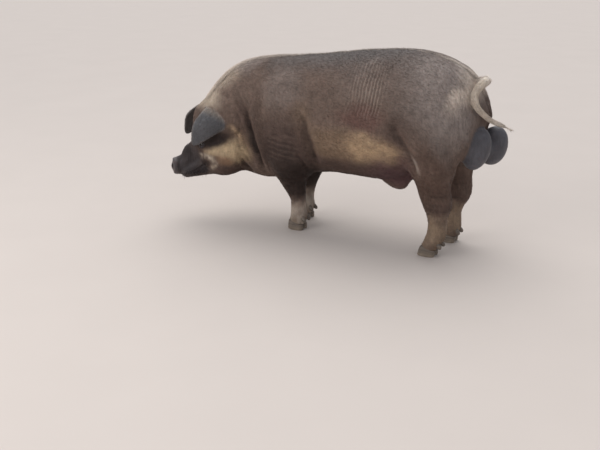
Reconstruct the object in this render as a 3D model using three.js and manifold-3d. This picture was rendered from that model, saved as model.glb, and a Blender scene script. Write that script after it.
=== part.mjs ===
// Mature Duroc-type boar, standing square with its head low and turned to its left.
// Still museum model at life size.  Millimetres, +Z up, head towards -X, the animal's left towards -Y.
//
// The flesh is one implicit shape: a barrel lofted along the spine, limbs lofted up from the feet,
// and muscles as ellipsoids that blend into them.  Head and neck are laid out along a straight spine,
// and a bend of the neck turns them sideways.  A net of cells turns the shape into a closed mesh,
// which plane cuts then part into the sub-parts a person would name.
import * as THREE from 'three';
import { mergeVertices } from 'three/addons/utils/BufferGeometryUtils.js';
import Module from 'manifold-3d';

const wasm = await Module();
wasm.setup();
const { Manifold, Mesh: SolidMesh } = wasm;

// ---------------------------------------------------------------- driving dimensions
const GAP = 0.3;              // air left between two sub-parts that meet
const CLEARANCE = 2.6;        // room between the flesh and what is cut to lie against it
const CELL = 78;              // net size on the barrel; finer on head, legs and feet (see FINE)
const SPINE_LENGTH = 300;     // length of neck that bends
const BEND_START = -500;      // where the neck begins to bend
const HEAD_TURN = 41;         // degrees the head is turned to the left

// barrel and neck: [along, top, bottom, half width]
const BARREL = [
  [-950, 590, 420, 50], [-880, 695, 345, 118], [-800, 780, 288, 146], [-700, 840, 260, 174],
  [-600, 862, 240, 200], [-500, 872, 252, 222], [-350, 890, 288, 243], [-180, 911, 314, 256],
  [0, 934, 318, 265], [120, 943, 322, 264], [220, 943, 358, 256], [320, 926, 412, 238],
  [400, 897, 452, 208], [470, 858, 486, 160], [515, 812, 530, 110], [550, 755, 590, 70], [575, 690, 640, 30],
];
const BARREL_SQUARENESS = 2.35;

// muscles on both sides: [centre, radii, tilt in degrees, blend]
const MUSCLES = {
  shoulder: [[-375, 158, 570], [150, 85, 235], 12, 60],
  upperArm: [[-360, 165, 430], [105, 72, 125], -20, 50],
  elbow: [[-312, 128, 350], [40, 40, 55], 0, 35],
  ham: [[352, 122, 625], [178, 130, 230], 6, 55],
  thigh: [[355, 158, 500], [105, 95, 155], 14, 45],
  hock: [[432, 135, 262], [24, 26, 40], -10, 30],
};

// limbs from the foot up: [height, along, outward, half depth, half width]
const FORE_LEG = [
  [-10, -374, 0, 40, 40], [45, -372, 0, 44, 42], [75, -366, 0, 45, 42], [110, -368, 2, 41, 36],
  [160, -369, 6, 42.5, 36], [200, -378, 10, 52, 43], [250, -390, 16, 72, 53], [310, -396, 28, 95, 66],
  [380, -388, 46, 105, 74], [460, -370, 62, 60, 30],
];
const HIND_LEG = [
  [-10, 354, 0, 40, 42], [45, 366, 0, 43, 43], [75, 384, 1, 47, 42], [110, 396, 3, 46, 37],
  [160, 399, 5, 46, 37], [205, 396, 7, 50, 42], [250, 390, 10, 63, 47], [300, 380, 15, 75, 57],
  [360, 374, 21, 83, 68], [430, 368, 26, 95, 78], [520, 350, 26, 60, 40],
];
const FAR_HIND_ALONG = [372, 382, 388, 387, 386, 400, 405, 396, 386, 376, 360];
const FAR_HIND_LEG = HIND_LEG.map((station, i) => [station[0], FAR_HIND_ALONG[i], ...station.slice(2)]);
// each leg: its stations, a step forward of the foot, its track from the mid plane, the side it is on
const LEGS = {
  fore_left: { stations: FORE_LEG, step: 0, track: 88, side: -1 },
  fore_right: { stations: FORE_LEG, step: -58, track: 98, side: 1 },
  hind_left: { stations: HIND_LEG, step: 0, track: 119, side: -1 },
  hind_right: { stations: FAR_HIND_LEG, step: 0, track: 119, side: 1 },
};
const STEP_FADE = [100, 400];     // the step of a foot fades out between these heights

// head, laid out along the straight spine
const HEAD = {
  skull: { centre: [-880, 0, 520], radii: [108, 100, 128], tilt: 20 },
  muzzle: { from: [-935, 0, 400], to: [-1076, 0, 302], radii: [72, 42], flat: 0.88, blend: 48 },
  lowerJaw: { from: [-860, 0, 335], to: [-1030, 0, 262], radii: [90, 26], flat: 0.92, blend: 30 },
  jowl: { centre: [-835, 80, 375], radii: [120, 86, 112], tilt: 0, blend: 60 },
  cheekBone: { centre: [-895, 66, 425], radii: [78, 46, 58], tilt: -25, blend: 35 },
  brow: { centre: [-965, 50, 465], radii: [40, 32, 26], tilt: 40, blend: 20 },
  lip: { from: [-952, 46, 328], to: [-1045, 30, 273], radii: [22, 16], flat: 1, blend: 20 },
  disc: { centre: [-1091, 0, 304], tilt: -4, radius: 43.5, wide: 1.08, half: 14, blend: 14 },
  blend: 55,
};
const EYE = { centre: [-953, 92, 434], radius: 13.5 };
// drooping ear: a leaf with its middle line along `down`; [place, half width, shift, lift, half thickness]
const EAR = {
  middle: [-925, 150, 522], down: [-85, 30, -152], front: [-870, -50, 480],
  forward: { left: 0, right: -16 }, sunk: { left: 0, right: -10 }, cup: 20, cupWidth: 70,
  stations: [
    [-125, 50, -20, -75, 16], [-105, 62, -16, -50, 14], [-85, 69, -12, -27, 11], [-60, 72, -6, -8, 9],
    [-30, 72, 4, 4, 8.5], [0, 66, 16, 8, 8], [35, 52, 25, 6, 7.5], [70, 34, 30, 1, 7],
    [95, 20, 32, -4, 6.5], [108, 9, 33, -7, 6],
  ],
};

// tail: [place, radius] from its root over the rump, round the left ham and out behind
const TAIL = [
  [[488, 4, 796], 33], [[528, -1, 817], 27], [[551, -22, 826], 22], [[548, -52, 820], 20],
  [[535, -86, 800], 18.5], [[529, -110, 767], 17.5], [[543, -114, 725], 16], [[566, -94, 693], 14.5],
  [[588, -60, 664], 13], [[614, -30, 644], 11.5], [[643, -10, 630], 9.5], [[674, 0, 614], 6],
];
const TAIL_CUTS = [0, 0.27, 0.5, 0.74, 1];      // shares of the tail's length where its pieces meet
const TAIL_PIECES = ['tail_base', 'tail_upper', 'tail_lower', 'tail_tip'];

// underline
const SHEATH = { from: [-10, 0, 345], to: [195, 0, 358], radii: [30, 44], flat: 0.8,
  tip: { centre: [132, 0, 314], radii: [66, 38, 48], tilt: -24 }, blend: 30 };
const TESTICLES = {
  left: { centre: [540, -60, 525], radii: [64, 57, 100], tilt: -12 },
  right: { centre: [582, 60, 520], radii: [66, 57, 95], tilt: -12 },
};

// feet
const CLAW = { length: 84, width: 39, spread: 3.5, height: 46 };
const DEWCLAW = { height: 62, back: 38, out: 21, radius: 11 };
const CORONET = CLAW.height - 6;                // where the claws meet the skin, under the shin's axis
const CORONET_NORMAL = [0.28, 0, 1];            // the coronet drops to the heel
const KNEE = { fore: 195, hind: 240 };          // height of the cut between the upper and lower leg

// ---------------------------------------------------------------- small tools
const clamp = (v, low, high) => Math.min(Math.max(v, low), high);
const rad = THREE.MathUtils.degToRad;

// smooth curve through stations: column `k` of rows whose first number is the place
function along(rows, k, x) {
  const last = rows.length - 1;
  let i = 0;
  while (i < last - 1 && x > rows[i + 1][0]) i += 1;
  const slope = (j) => {
    const a = Math.max(j - 1, 0);
    const b = Math.min(j + 1, last);
    if (a === j || b === j) return (rows[b][k] - rows[a][k]) / (rows[b][0] - rows[a][0]);
    const before = rows[j][0] - rows[a][0];
    const after = rows[b][0] - rows[j][0];
    const rise = (rows[b][k] - rows[j][k]) / after;
    const fall = (rows[j][k] - rows[a][k]) / before;
    return (before * rise + after * fall) / (before + after);
  };
  const span = rows[i + 1][0] - rows[i][0];
  const t = clamp((x - rows[i][0]) / span, 0, 1);
  return rows[i][k] * (1 + 2 * t) * (1 - t) ** 2 + slope(i) * span * t * (1 - t) ** 2
    + rows[i + 1][k] * t * t * (3 - 2 * t) - slope(i + 1) * span * t * t * (1 - t);
}

// two shapes run together over a width k
function blend(a, b, k) {
  const h = clamp(0.5 + 0.5 * (b - a) / k, 0, 1);
  return b * (1 - h) + a * h - k * h * (1 - h);
}

// distance to an ellipsoid, near enough
function ellipsoid([x, y, z], { centre, radii, tilt = 0 }) {
  const c = Math.cos(rad(tilt));
  const s = Math.sin(rad(tilt));
  const dx = x - centre[0];
  const dz = z - centre[2];
  const p = [dx * c + dz * s, y - centre[1], dz * c - dx * s];
  const near = Math.hypot(...p.map((v, i) => v / radii[i]));
  const pull = Math.hypot(...p.map((v, i) => v / radii[i] ** 2));
  return near * (near - 1) / Math.max(pull, 1e-9);
}

// distance to a round bar that tapers, narrowed sideways by `flat`
function bar(p, { from, to, radii, flat = 1 }) {
  const squeeze = (q) => [q[0], q[1] / flat, q[2]];
  const [q, a, b] = [squeeze(p), squeeze(from), squeeze(to)];
  const run = b.map((v, i) => v - a[i]);
  const length = Math.hypot(...run);
  const t = clamp(run.reduce((sum, v, i) => sum + v * (q[i] - a[i]), 0) / length ** 2, 0, 1);
  const off = Math.hypot(...q.map((v, i) => v - a[i] - t * run[i]));
  return (off - radii[0] - (radii[1] - radii[0]) * t) * Math.min(1, flat);
}

// distance to a rounded section with half sizes ra and rb
function section(a, b, ra, rb, squareness) {
  const u = Math.abs(a) / ra;
  const v = Math.abs(b) / rb;
  const q = Math.max(u ** squareness + v ** squareness, 1e-9) ** (1 / squareness);
  const slope = Math.hypot(u ** (squareness - 1) / ra, v ** (squareness - 1) / rb) * q ** (1 - squareness);
  return (q - 1) / Math.max(slope, 1 / Math.max(ra, rb));
}

// ---------------------------------------------------------------- bend of the neck
const BEND_RADIUS = SPINE_LENGTH / rad(HEAD_TURN);

// place in the turned animal -> place along the straight spine
function straighten([x, y, z]) {
  const turn = rad(HEAD_TURN);
  const qx = x - BEND_START;
  const qy = y + BEND_RADIUS;
  const angle = Math.atan2(-qx, qy);
  if (angle < 0) return [x, y, z];
  if (angle <= turn) return [BEND_START - BEND_RADIUS * angle, Math.hypot(qx, qy) - BEND_RADIUS, z];
  const dx = qx + BEND_RADIUS * Math.sin(turn);
  const dy = qy - BEND_RADIUS * Math.cos(turn);
  return [BEND_START - SPINE_LENGTH + dx * Math.cos(turn) + dy * Math.sin(turn),
    dy * Math.cos(turn) - dx * Math.sin(turn), z];
}

// place along the straight spine -> place in the turned animal
function turned([s, side, z]) {
  const angle = clamp((BEND_START - s) / BEND_RADIUS, 0, rad(HEAD_TURN));
  const past = Math.max(BEND_START - SPINE_LENGTH - s, 0);
  const behind = Math.max(s - BEND_START, 0);
  return [BEND_START - (BEND_RADIUS + side) * Math.sin(angle) - past * Math.cos(angle) + behind,
    (BEND_RADIUS + side) * Math.cos(angle) - BEND_RADIUS - past * Math.sin(angle), z];
}

// ---------------------------------------------------------------- flesh
function barrelField([x, y, z]) {
  const [top, bottom, half] = [1, 2, 3].map((k) => along(BARREL, k, x));
  const d = section(y, z - (top + bottom) / 2, half, (top - bottom) / 2, BARREL_SQUARENESS);
  const past = Math.max(BARREL[0][0] - x, x - BARREL[BARREL.length - 1][0], 0);
  return past > 0 ? Math.hypot(Math.max(d, 0), past) : d;
}

function legCentre({ stations, step, track, side }, z) {
  const fade = clamp((STEP_FADE[1] - z) / (STEP_FADE[1] - STEP_FADE[0]), 0, 1);
  const forward = step * fade * fade * (3 - 2 * fade);
  return [along(stations, 1, z) + forward, side * (track + along(stations, 2, z))];
}

function legField([x, y, z], leg) {
  const [cx, cy] = legCentre(leg, z);
  const { stations } = leg;
  const d = section(x - cx, y - cy, along(stations, 3, z), along(stations, 4, z), 2.1);
  const past = Math.max(z - stations[stations.length - 1][0], stations[0][0] - z, 0);
  return past > 0 ? Math.hypot(Math.max(d, 0), past) : d;
}

function headField([s, side, z]) {
  const p = [s, Math.abs(side), z];
  const { skull, muzzle, lowerJaw, jowl, cheekBone, brow, lip, disc } = HEAD;
  let d = ellipsoid(p, skull);
  d = blend(d, bar(p, muzzle), muzzle.blend);
  d = blend(d, bar(p, lowerJaw), lowerJaw.blend);
  d = blend(d, ellipsoid(p, jowl), jowl.blend);
  d = blend(d, ellipsoid(p, cheekBone), cheekBone.blend);
  d = blend(d, ellipsoid(p, brow), brow.blend);
  d = blend(d, bar(p, lip), lip.blend);
  // snout disc: a short round plate across the end of the muzzle
  const [c, t] = [Math.cos(rad(disc.tilt)), Math.sin(rad(disc.tilt))];
  const [ds, dz] = [s - disc.centre[0], z - disc.centre[2]];
  const rim = Math.hypot(side / disc.wide, ds * t + dz * c) - disc.radius;
  const plate = -blend(-rim, Math.abs(ds * c - dz * t) * -1 + disc.half, 10);
  return blend(d, plate, disc.blend);
}

function fleshField(p) {
  const straight = straighten(p);
  let d = blend(barrelField(straight), headField(straight), HEAD.blend);
  const folded = [p[0], Math.abs(p[1]), p[2]];
  for (const [centre, radii, tilt, k] of Object.values(MUSCLES)) {
    d = blend(d, ellipsoid(folded, { centre, radii, tilt }), k);
  }
  for (const leg of Object.values(LEGS)) d = blend(d, legField(p, leg), 45);
  return d;
}

const sheathField = (p) => blend(bar(p, SHEATH), ellipsoid(p, SHEATH.tip), SHEATH.blend);

// ---------------------------------------------------------------- net of cells over an implicit shape
// Each cell that the surface crosses gives one point, each crossed cell edge one face of four points.
// A box in `fine` is [level, low, high]: its cells are halved `level` times, it lies in a box one level
// coarser, and a face on its border may join to a coarser neighbour.
function netSolid(field, low, high, cell, fine = []) {
  const levels = Math.max(0, ...fine.map(([level]) => level));
  const size = Array.from({ length: levels + 1 }, (_, level) => cell / 2 ** level);
  const regions = size.map((step, level) => (level === 0
    ? [[[0, 0, 0], low.map((v, k) => Math.ceil((high[k] - v) / cell))]]
    : fine.filter((box) => box[0] === level).map(([, a, b]) => [
      a.map((v, k) => 2 * Math.floor((v - low[k]) / (2 * step))),
      b.map((v, k) => 2 * Math.ceil((v - low[k]) / (2 * step)))])));
  const within = (c, [a, b]) => c.every((v, k) => v >= a[k] && v < b[k]);
  const cellName = (level, c) => (level === 0 || regions[level].some((box) => within(c, box))
    ? `${level} ${c}` : cellName(level - 1, c.map((v) => v >> 1)));
  const covered = (level, c, axis) => level < levels && regions[level + 1].some(([a, b]) => (
    c.every((v, k) => 2 * v >= a[k] && 2 * v + (k === axis ? 2 : 0) <= b[k])));
  const known = new Map();
  const value = (level, c) => {
    const name = `${c.map((v) => v * 2 ** (levels - level))}`;
    if (!known.has(name)) known.set(name, field(c.map((v, k) => low[k] + v * size[level])));
    return known.get(name);
  };
  const points = new Map();
  const faces = [];
  const done = new Set();
  const cross = (level, c, axis, last) => {
    const next = c.map((v, n) => v + (n === axis ? 1 : 0));
    const edge = `${level} ${axis} ${c}`;
    if (next[axis] > last[axis] || covered(level, c, axis) || done.has(edge)) return;
    done.add(edge);
    const [here, there] = [value(level, c), value(level, next)];
    if ((here < 0) === (there < 0)) return;
    const t = here / (here - there);
    const crossing = c.map((v, n) => low[n] + size[level] * (v + (n === axis ? t : 0)));
    const [u, w] = [(axis + 1) % 3, (axis + 2) % 3];
    const ring = [[-1, -1], [0, -1], [0, 0], [-1, 0]].map(([du, dw]) => {
      const name = cellName(level, c.map((v, n) => v + (n === u ? du : 0) + (n === w ? dw : 0)));
      if (!points.has(name)) points.set(name, { sum: [0, 0, 0], n: 0, id: points.size, cell: size[name[0]] });
      const point = points.get(name);
      point.sum = point.sum.map((v, n) => v + crossing[n]);
      point.n += 1;
      return point.id;
    });
    faces.push(here < 0 ? ring : ring.reverse());
  };
  regions.forEach((list, level) => list.forEach(([a, b]) => {
    for (let i = a[0]; i <= b[0]; i += 1) {
      for (let j = a[1]; j <= b[1]; j += 1) {
        for (let k = a[2]; k <= b[2]; k += 1) {
          for (let axis = 0; axis < 3; axis += 1) cross(level, [i, j, k], axis, b);
        }
      }
    }
  }));
  const places = [...points.values()].map(({ sum, n, cell: reach }) => (
    settle(field, sum.map((v) => v / n), reach / 8)));
  const far = (p, q) => Math.hypot(...places[p].map((v, n) => v - places[q][n]));
  const triangles = [];
  for (const [a, b, c, d] of faces) {
    const pair = far(a, c) <= far(b, d) ? [[a, b, c], [a, c, d]] : [[a, b, d], [b, c, d]];
    for (const tri of pair) if (new Set(tri).size === 3) triangles.push(...tri);
  }
  return toSolid(places.flat(), triangles);
}

// move a point onto the surface by a few steps along the slope
function settle(field, start, reach) {
  let p = start;
  for (let round = 0; round < 4; round += 1) {
    const here = field(p);
    const slope = [0, 1, 2].map((n) => (field(p.map((v, m) => v + (m === n ? 0.2 : 0)))
      - field(p.map((v, m) => v - (m === n ? 0.2 : 0)))) / 0.4);
    const steep = Math.max(slope.reduce((sum, v) => sum + v * v, 0), 0.2);
    const step = slope.map((v) => -v * here / steep);
    const cut = Math.min(1, reach / Math.max(Math.hypot(...step), 1e-9));
    p = p.map((v, n) => v + step[n] * cut);
  }
  return p;
}

// ---------------------------------------------------------------- solids
function toSolid(places, triangles) {
  return new Manifold(new SolidMesh({
    numProp: 3, vertProperties: new Float32Array(places), triVerts: new Uint32Array(triangles) }));
}

function solidOf(geometry) {
  const bare = geometry.clone();
  bare.deleteAttribute('normal');
  bare.deleteAttribute('uv');
  const merged = mergeVertices(bare, 1e-4);
  return toSolid([...merged.attributes.position.array], [...merged.index.array]);
}

// closed solid over rings of equal count, each end closed to its middle
function loftSolid(rings) {
  const n = rings[0].length;
  const places = rings.flat(2);
  const middle = (ring) => ring.reduce((sum, p) => sum.map((v, k) => v + p[k] / n), [0, 0, 0]);
  places.push(...middle(rings[0]), ...middle(rings[rings.length - 1]));
  const [first, last] = [rings.length * n, rings.length * n + 1];
  const triangles = [];
  for (let i = 0; i < rings.length - 1; i += 1) {
    for (let j = 0; j < n; j += 1) {
      const [a, b] = [i * n + j, i * n + (j + 1) % n];
      triangles.push(a, b, b + n, a, b + n, a + n);
    }
  }
  const end = (rings.length - 1) * n;
  for (let j = 0; j < n; j += 1) {
    triangles.push(first, (j + 1) % n, j, last, end + j, end + (j + 1) % n);
  }
  const solid = toSolid(places, triangles);
  return solid.volume() > 0 ? solid : toSolid(places, triangles.reverse());
}

const biggest = (solid) => solid.decompose().sort((a, b) => b.volume() - a.volume())[0];

// the space on the side of a plane that its normal points to, moved back by `inset`
function beyond(point, normal, inset = 0) {
  const unit = new THREE.Vector3(...normal).normalize();
  const reach = 3000;
  const box = new THREE.BoxGeometry(reach, reach, reach);
  box.translate(0, 0, reach / 2 + inset);
  box.applyQuaternion(new THREE.Quaternion().setFromUnitVectors(new THREE.Vector3(0, 0, 1), unit));
  box.translate(...point);
  return solidOf(box);
}

// part a solid by a space with flat sides: [what lies in it, what is left], a gap apart
function partBy(solid, planes) {
  const space = (inset) => planes.map(([point, normal]) => beyond(point, normal, inset))
    .reduce((all, one) => all.intersect(one));
  return [solid.intersect(space(GAP / 2)), solid.subtract(space(-GAP / 2))];
}

// ---------------------------------------------------------------- sub-parts
const FINE = [
  [1, [-1140, -420, 180], [-760, 120, 720]],      // head
  [1, [-560, -260, -40], [-220, 260, 330]],       // fore legs
  [1, [260, -260, -40], [520, 260, 330]],         // hind legs
  [2, [-1080, -400, 215], [-860, -110, 470]],     // face
  [2, [-500, -160, -40], [-300, 170, 140]],       // fore feet
  [2, [300, -180, -40], [460, 180, 160]],         // hind feet
];
const LOW = [-1181, -606, -68];
const HIGH = [700, 400, 1010];

function buildFlesh() {
  const nodes = {};
  const flesh = netSolid(fleshField, LOW, HIGH, CELL, FINE);
  const grown = netSolid((p) => fleshField(p) - CLEARANCE, LOW, HIGH, CELL, FINE);

  let rest = flesh;
  const take = (name, planes) => {
    const [piece, left] = partBy(rest, planes);
    nodes[name] = biggest(piece);
    rest = left;
  };
  // legs first: a wedge under the arm pit or the groin, then the cut at the knee or hock
  for (const [name, leg] of Object.entries(LEGS)) {
    const fore = name.startsWith('fore');
    const side = leg.side;
    const knee = fore ? KNEE.fore : KNEE.hind;
    const wedge = fore
      ? [[[0, side * 30, 0], [0, side, 0]], [[0, side * 30, 296], [0, side * 0.55, -1]],
        [[-520, 0, 300], [1, 0, 0.25]], [[-262, 0, 330], [-1, 0, 0.35]]]
      : [[[0, side * 30, 0], [0, side, 0]], [[0, side * 30, 385], [0, side * 0.45, -1]],
        [[262, 0, 400], [1, 0, 0.35]]];
    const [whole, left] = partBy(rest, wedge);
    rest = left;
    const [kneeAlong] = legCentre(leg, knee);
    const [lower, upper] = partBy(biggest(whole), [[[kneeAlong, 0, knee], [fore ? 0 : -0.25, 0, -1]]]);
    nodes[`leg_${name}_upper`] = biggest(upper);
    // the shin stands on the claws along a plane that drops to the heel
    const [cx] = legCentre(leg, CLAW.height);
    const above = beyond([cx, 0, CORONET + GAP], CORONET_NORMAL);
    nodes[`leg_${name}_lower`] = biggest(lower.intersect(above));
  }
  // head: snout and lower jaw part along the mouth
  const at = (s, z) => turned([s, 0, z]);
  const heading = (s, z) => {
    const t = rad(HEAD_TURN);
    return [s * Math.cos(t), s * Math.sin(t), z];
  };
  take('jaw', [[at(-935, 322), heading(-1, 0)], [at(-1012, 284), heading(0.5, -1)]]);
  take('snout', [[at(-1022, 345), heading(-1, -0.66)]]);
  take('head', [[at(-775, 470), heading(-0.94, -0.3)]]);
  take('neck', [[[-468, 0, 565], [-1, 0, 0.21]]]);
  nodes.trunk = biggest(rest);
  return { nodes, grown };
}

function ear(side, grown) {
  const mirror = side === 'left' ? -1 : 1;
  const down = new THREE.Vector3(...EAR.down).normalize();
  const front = new THREE.Vector3(...EAR.front);
  front.addScaledVector(down, -front.dot(down)).normalize();
  const out = new THREE.Vector3().crossVectors(front, down);
  if (out.y < 0) out.negate();
  const middle = new THREE.Vector3(...EAR.middle)
    .add(new THREE.Vector3(EAR.forward[side], 0, EAR.sunk[side]));
  const first = EAR.stations[0][0];
  const last = EAR.stations[EAR.stations.length - 1][0];
  const [steps, around] = [8, 10];
  const rings = [];
  for (let i = 0; i <= steps; i += 1) {
    const u = first + (last - first) * i / steps;
    const [half, shift, lift, thick] = [1, 2, 3, 4].map((k) => along(EAR.stations, k, u));
    const rise = (along(EAR.stations, 3, u + 1) - along(EAR.stations, 3, u - 1)) / 2;
    const ring = [];
    for (let j = 0; j < around; j += 1) {
      const a = 2 * Math.PI * j / around;
      const w = half * Math.cos(a);
      const body = thick * Math.sqrt(1 + rise * rise) * Math.sign(Math.sin(a)) * Math.abs(Math.sin(a)) ** 0.6;
      const cup = EAR.cup * clamp(w / EAR.cupWidth, -1.4, 1.4) ** 2;
      const p = middle.clone().addScaledVector(down, u).addScaledVector(front, w + shift)
        .addScaledVector(out, lift - cup + body);
      ring.push(turned([p.x, mirror * p.y, p.z]));
    }
    rings.push(ring);
  }
  return biggest(loftSolid(rings).subtract(grown));
}

const eyePlace = (mirror) => turned([EYE.centre[0], mirror * EYE.centre[1], EYE.centre[2]]);

function ball(place, radius) {
  const sphere = new THREE.SphereGeometry(radius, 10, 7);
  sphere.translate(...place);
  return solidOf(sphere);
}

// the tail's pieces: round sections carried along its path
function tailPieces(grown) {
  const path = new THREE.CatmullRomCurve3(TAIL.map(([p]) => new THREE.Vector3(...p)), false, 'centripetal');
  const length = path.getLength();
  const radii = TAIL.map(([, r], i) => [i / (TAIL.length - 1), r]);
  const [sides, steps] = [8, 20];
  // the side vector is carried from ring to ring, so that the sections don't twist
  const across = new THREE.Vector3(0.3, -1, 0.2);
  const piece = (from, to) => {
    const n = Math.max(3, Math.round(steps * (to - from)));
    const rings = [];
    for (let i = 0; i <= n; i += 1) {
      const share = from + (to - from) * i / n;
      const t = path.getUtoTmapping(share, 0);
      const centre = path.getPoint(t);
      const ahead = path.getTangent(t);
      across.addScaledVector(ahead, -across.dot(ahead)).normalize();
      const up = new THREE.Vector3().crossVectors(ahead, across);
      const tip = Math.sqrt(clamp((1 - share) * length / 6, 0.12, 1));
      const r = along(radii, 1, t) * tip;
      rings.push(Array.from({ length: sides }, (_, j) => {
        const a = 2 * Math.PI * j / sides;
        const p = centre.clone().addScaledVector(across, r * Math.cos(a));
        return p.addScaledVector(up, r * Math.sin(a)).toArray();
      }));
    }
    return loftSolid(rings);
  };
  const nodes = {};
  TAIL_PIECES.forEach((name, i) => {
    const share = GAP / 2 / length;
    const from = TAIL_CUTS[i] + (i > 0 ? share : 0);
    const to = TAIL_CUTS[i + 1] - (i < TAIL_PIECES.length - 1 ? share : 0);
    nodes[name] = biggest(piece(from, to).subtract(grown));
  });
  return nodes;
}

// one claw of the foot: a rounded wedge with a flat sole, cut along the coronet
function claw(leg, outward) {
  const rings = [];
  const levels = 2;
  const around = 10;
  for (let i = 0; i <= levels; i += 1) {
    const share = i / levels;
    const z = share * (CLAW.height + 12);
    const [cx, cy] = legCentre(leg, z);
    const half = CLAW.length / 2 * (1 - 0.04 * share);
    const width = CLAW.width / 2 * (1.03 - 0.06 * share);
    rings.push(Array.from({ length: around }, (_, j) => {
      const a = 2 * Math.PI * j / around;
      const [c, s] = [Math.cos(a), Math.sin(a)];
      const pointed = 1 - 0.26 * Math.max(-c, 0) ** 2;      // narrower towards the toe
      const toe = c < 0 ? -CLAW.spread * c : 0;             // the toes stand a little apart
      const y = width * Math.sign(s) * Math.abs(s) ** 0.8 * pointed;
      return [cx + half * c, cy + outward * (width + 1.2 + toe) + y, z];
    }));
  }
  const [cx] = legCentre(leg, CLAW.height);
  return loftSolid(rings).subtract(beyond([cx, 0, CORONET], CORONET_NORMAL));
}

// dewclaw: a short blunt horn behind the pastern, clear of the ground
function dewclaw(leg, outward, shin) {
  const [cx, cy] = legCentre(leg, DEWCLAW.height);
  const root = new THREE.Vector3(cx + DEWCLAW.back, cy + outward * DEWCLAW.out, DEWCLAW.height);
  const from = root.clone().add(new THREE.Vector3(-14, -3 * outward, 14));
  const to = root.clone().add(new THREE.Vector3(16, 4 * outward, -12));
  const ahead = to.clone().sub(from).normalize();
  const across = new THREE.Vector3(0, 1, 0);
  const up = new THREE.Vector3().crossVectors(across, ahead);
  const profile = [[0, 0.95], [0.7, 0.95], [1, 0.35]];
  const sides = 6;
  const rings = profile.map(([t, r]) => Array.from({ length: sides }, (_, j) => {
    const a = 2 * Math.PI * j / sides;
    const p = from.clone().lerp(to, t).addScaledVector(across, r * DEWCLAW.radius * Math.cos(a));
    return p.addScaledVector(up, r * DEWCLAW.radius * 1.1 * Math.sin(a)).toArray();
  }));
  return biggest(loftSolid(rings).subtract(shin));
}

// ---------------------------------------------------------------- assembly
const COLOURS = {
  hide: [0x6a5a4e, 0.85], face: [0x45484c, 0.75], ear: [0x3d4247, 0.8], tail: [0xa89a86, 0.85],
  leg: [0x8a7a68, 0.85], slate: [0x4d515a, 0.7], plum: [0x4b3a3e, 0.7], horn: [0x332c28, 0.6],
  eye: [0x1a120d, 0.15],
};
const finishes = Object.fromEntries(Object.entries(COLOURS).map(([name, [color, roughness]]) => (
  [name, new THREE.MeshStandardMaterial({ name, color, roughness, metalness: 0 })])));

function finishOf(name) {
  if (/^(hoof|dewclaw)/.test(name)) return finishes.horn;
  if (/^eye/.test(name)) return finishes.eye;
  if (/^ear/.test(name)) return finishes.ear;
  if (/^tail/.test(name)) return finishes.tail;
  if (/^scrotum/.test(name)) return finishes.slate;
  if (/^sheath/.test(name)) return finishes.plum;
  if (/^(snout|jaw)/.test(name)) return finishes.face;
  if (/_lower$/.test(name)) return finishes.leg;
  return finishes.hide;
}

function meshOf(name, solid) {
  const { vertProperties, triVerts } = solid.getMesh();
  const geometry = new THREE.BufferGeometry();
  geometry.setAttribute('position', new THREE.BufferAttribute(new Float32Array(vertProperties), 3));
  geometry.setIndex(new THREE.BufferAttribute(new Uint32Array(triVerts), 1));
  geometry.computeVertexNormals();
  const mesh = new THREE.Mesh(geometry, finishOf(name));
  mesh.name = name;
  return mesh;
}

function buildAnimal() {
  const { nodes, grown } = buildFlesh();
  for (const [side, mirror] of [['left', -1], ['right', 1]]) {
    const place = eyePlace(mirror);
    nodes[`eye_${side}`] = ball(place, EYE.radius);
    nodes.head = nodes.head.subtract(ball(place, EYE.radius + 2 * GAP));
    nodes[`ear_${side}`] = ear(side, grown);
  }
  nodes.head = biggest(nodes.head);
  Object.assign(nodes, tailPieces(grown));
  const sheath = netSolid(sheathField, [-80, -90, 210], [290, 90, 450], 32);
  nodes.sheath = biggest(sheath.subtract(grown));
  const testicle = (side) => netSolid((p) => ellipsoid(p, TESTICLES[side]),
    [440, side === 'left' ? -150 : -40, 380], [700, side === 'left' ? 40 : 150, 660], 38);
  const left = testicle('left').intersect(beyond([0, -GAP, 0], [0, -1, 0]));
  const right = testicle('right').intersect(beyond([0, GAP, 0], [0, 1, 0]));
  nodes.scrotum_left = biggest(left.subtract(grown));
  nodes.scrotum_right = biggest(right.subtract(grown));
  for (const [name, leg] of Object.entries(LEGS)) {
    for (const [where, outward] of [['inner', -leg.side], ['outer', leg.side]]) {
      nodes[`hoof_${name}_${where}`] = claw(leg, outward);
      nodes[`dewclaw_${name}_${where}`] = dewclaw(leg, outward, grown);
    }
  }
  const animal = new THREE.Group();
  animal.name = 'boar';
  for (const [name, solid] of Object.entries(nodes)) animal.add(meshOf(name, solid));
  // stand the animal's box over the origin
  const box = new THREE.Box3().setFromObject(animal);
  animal.position.set(-(box.min.x + box.max.x) / 2, -(box.min.y + box.max.y) / 2, -box.min.z);
  const model = new THREE.Group();
  model.add(animal);
  return model;
}

export default buildAnimal();
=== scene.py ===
import bpy
import numpy as np
from mathutils import Matrix, Vector


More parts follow.
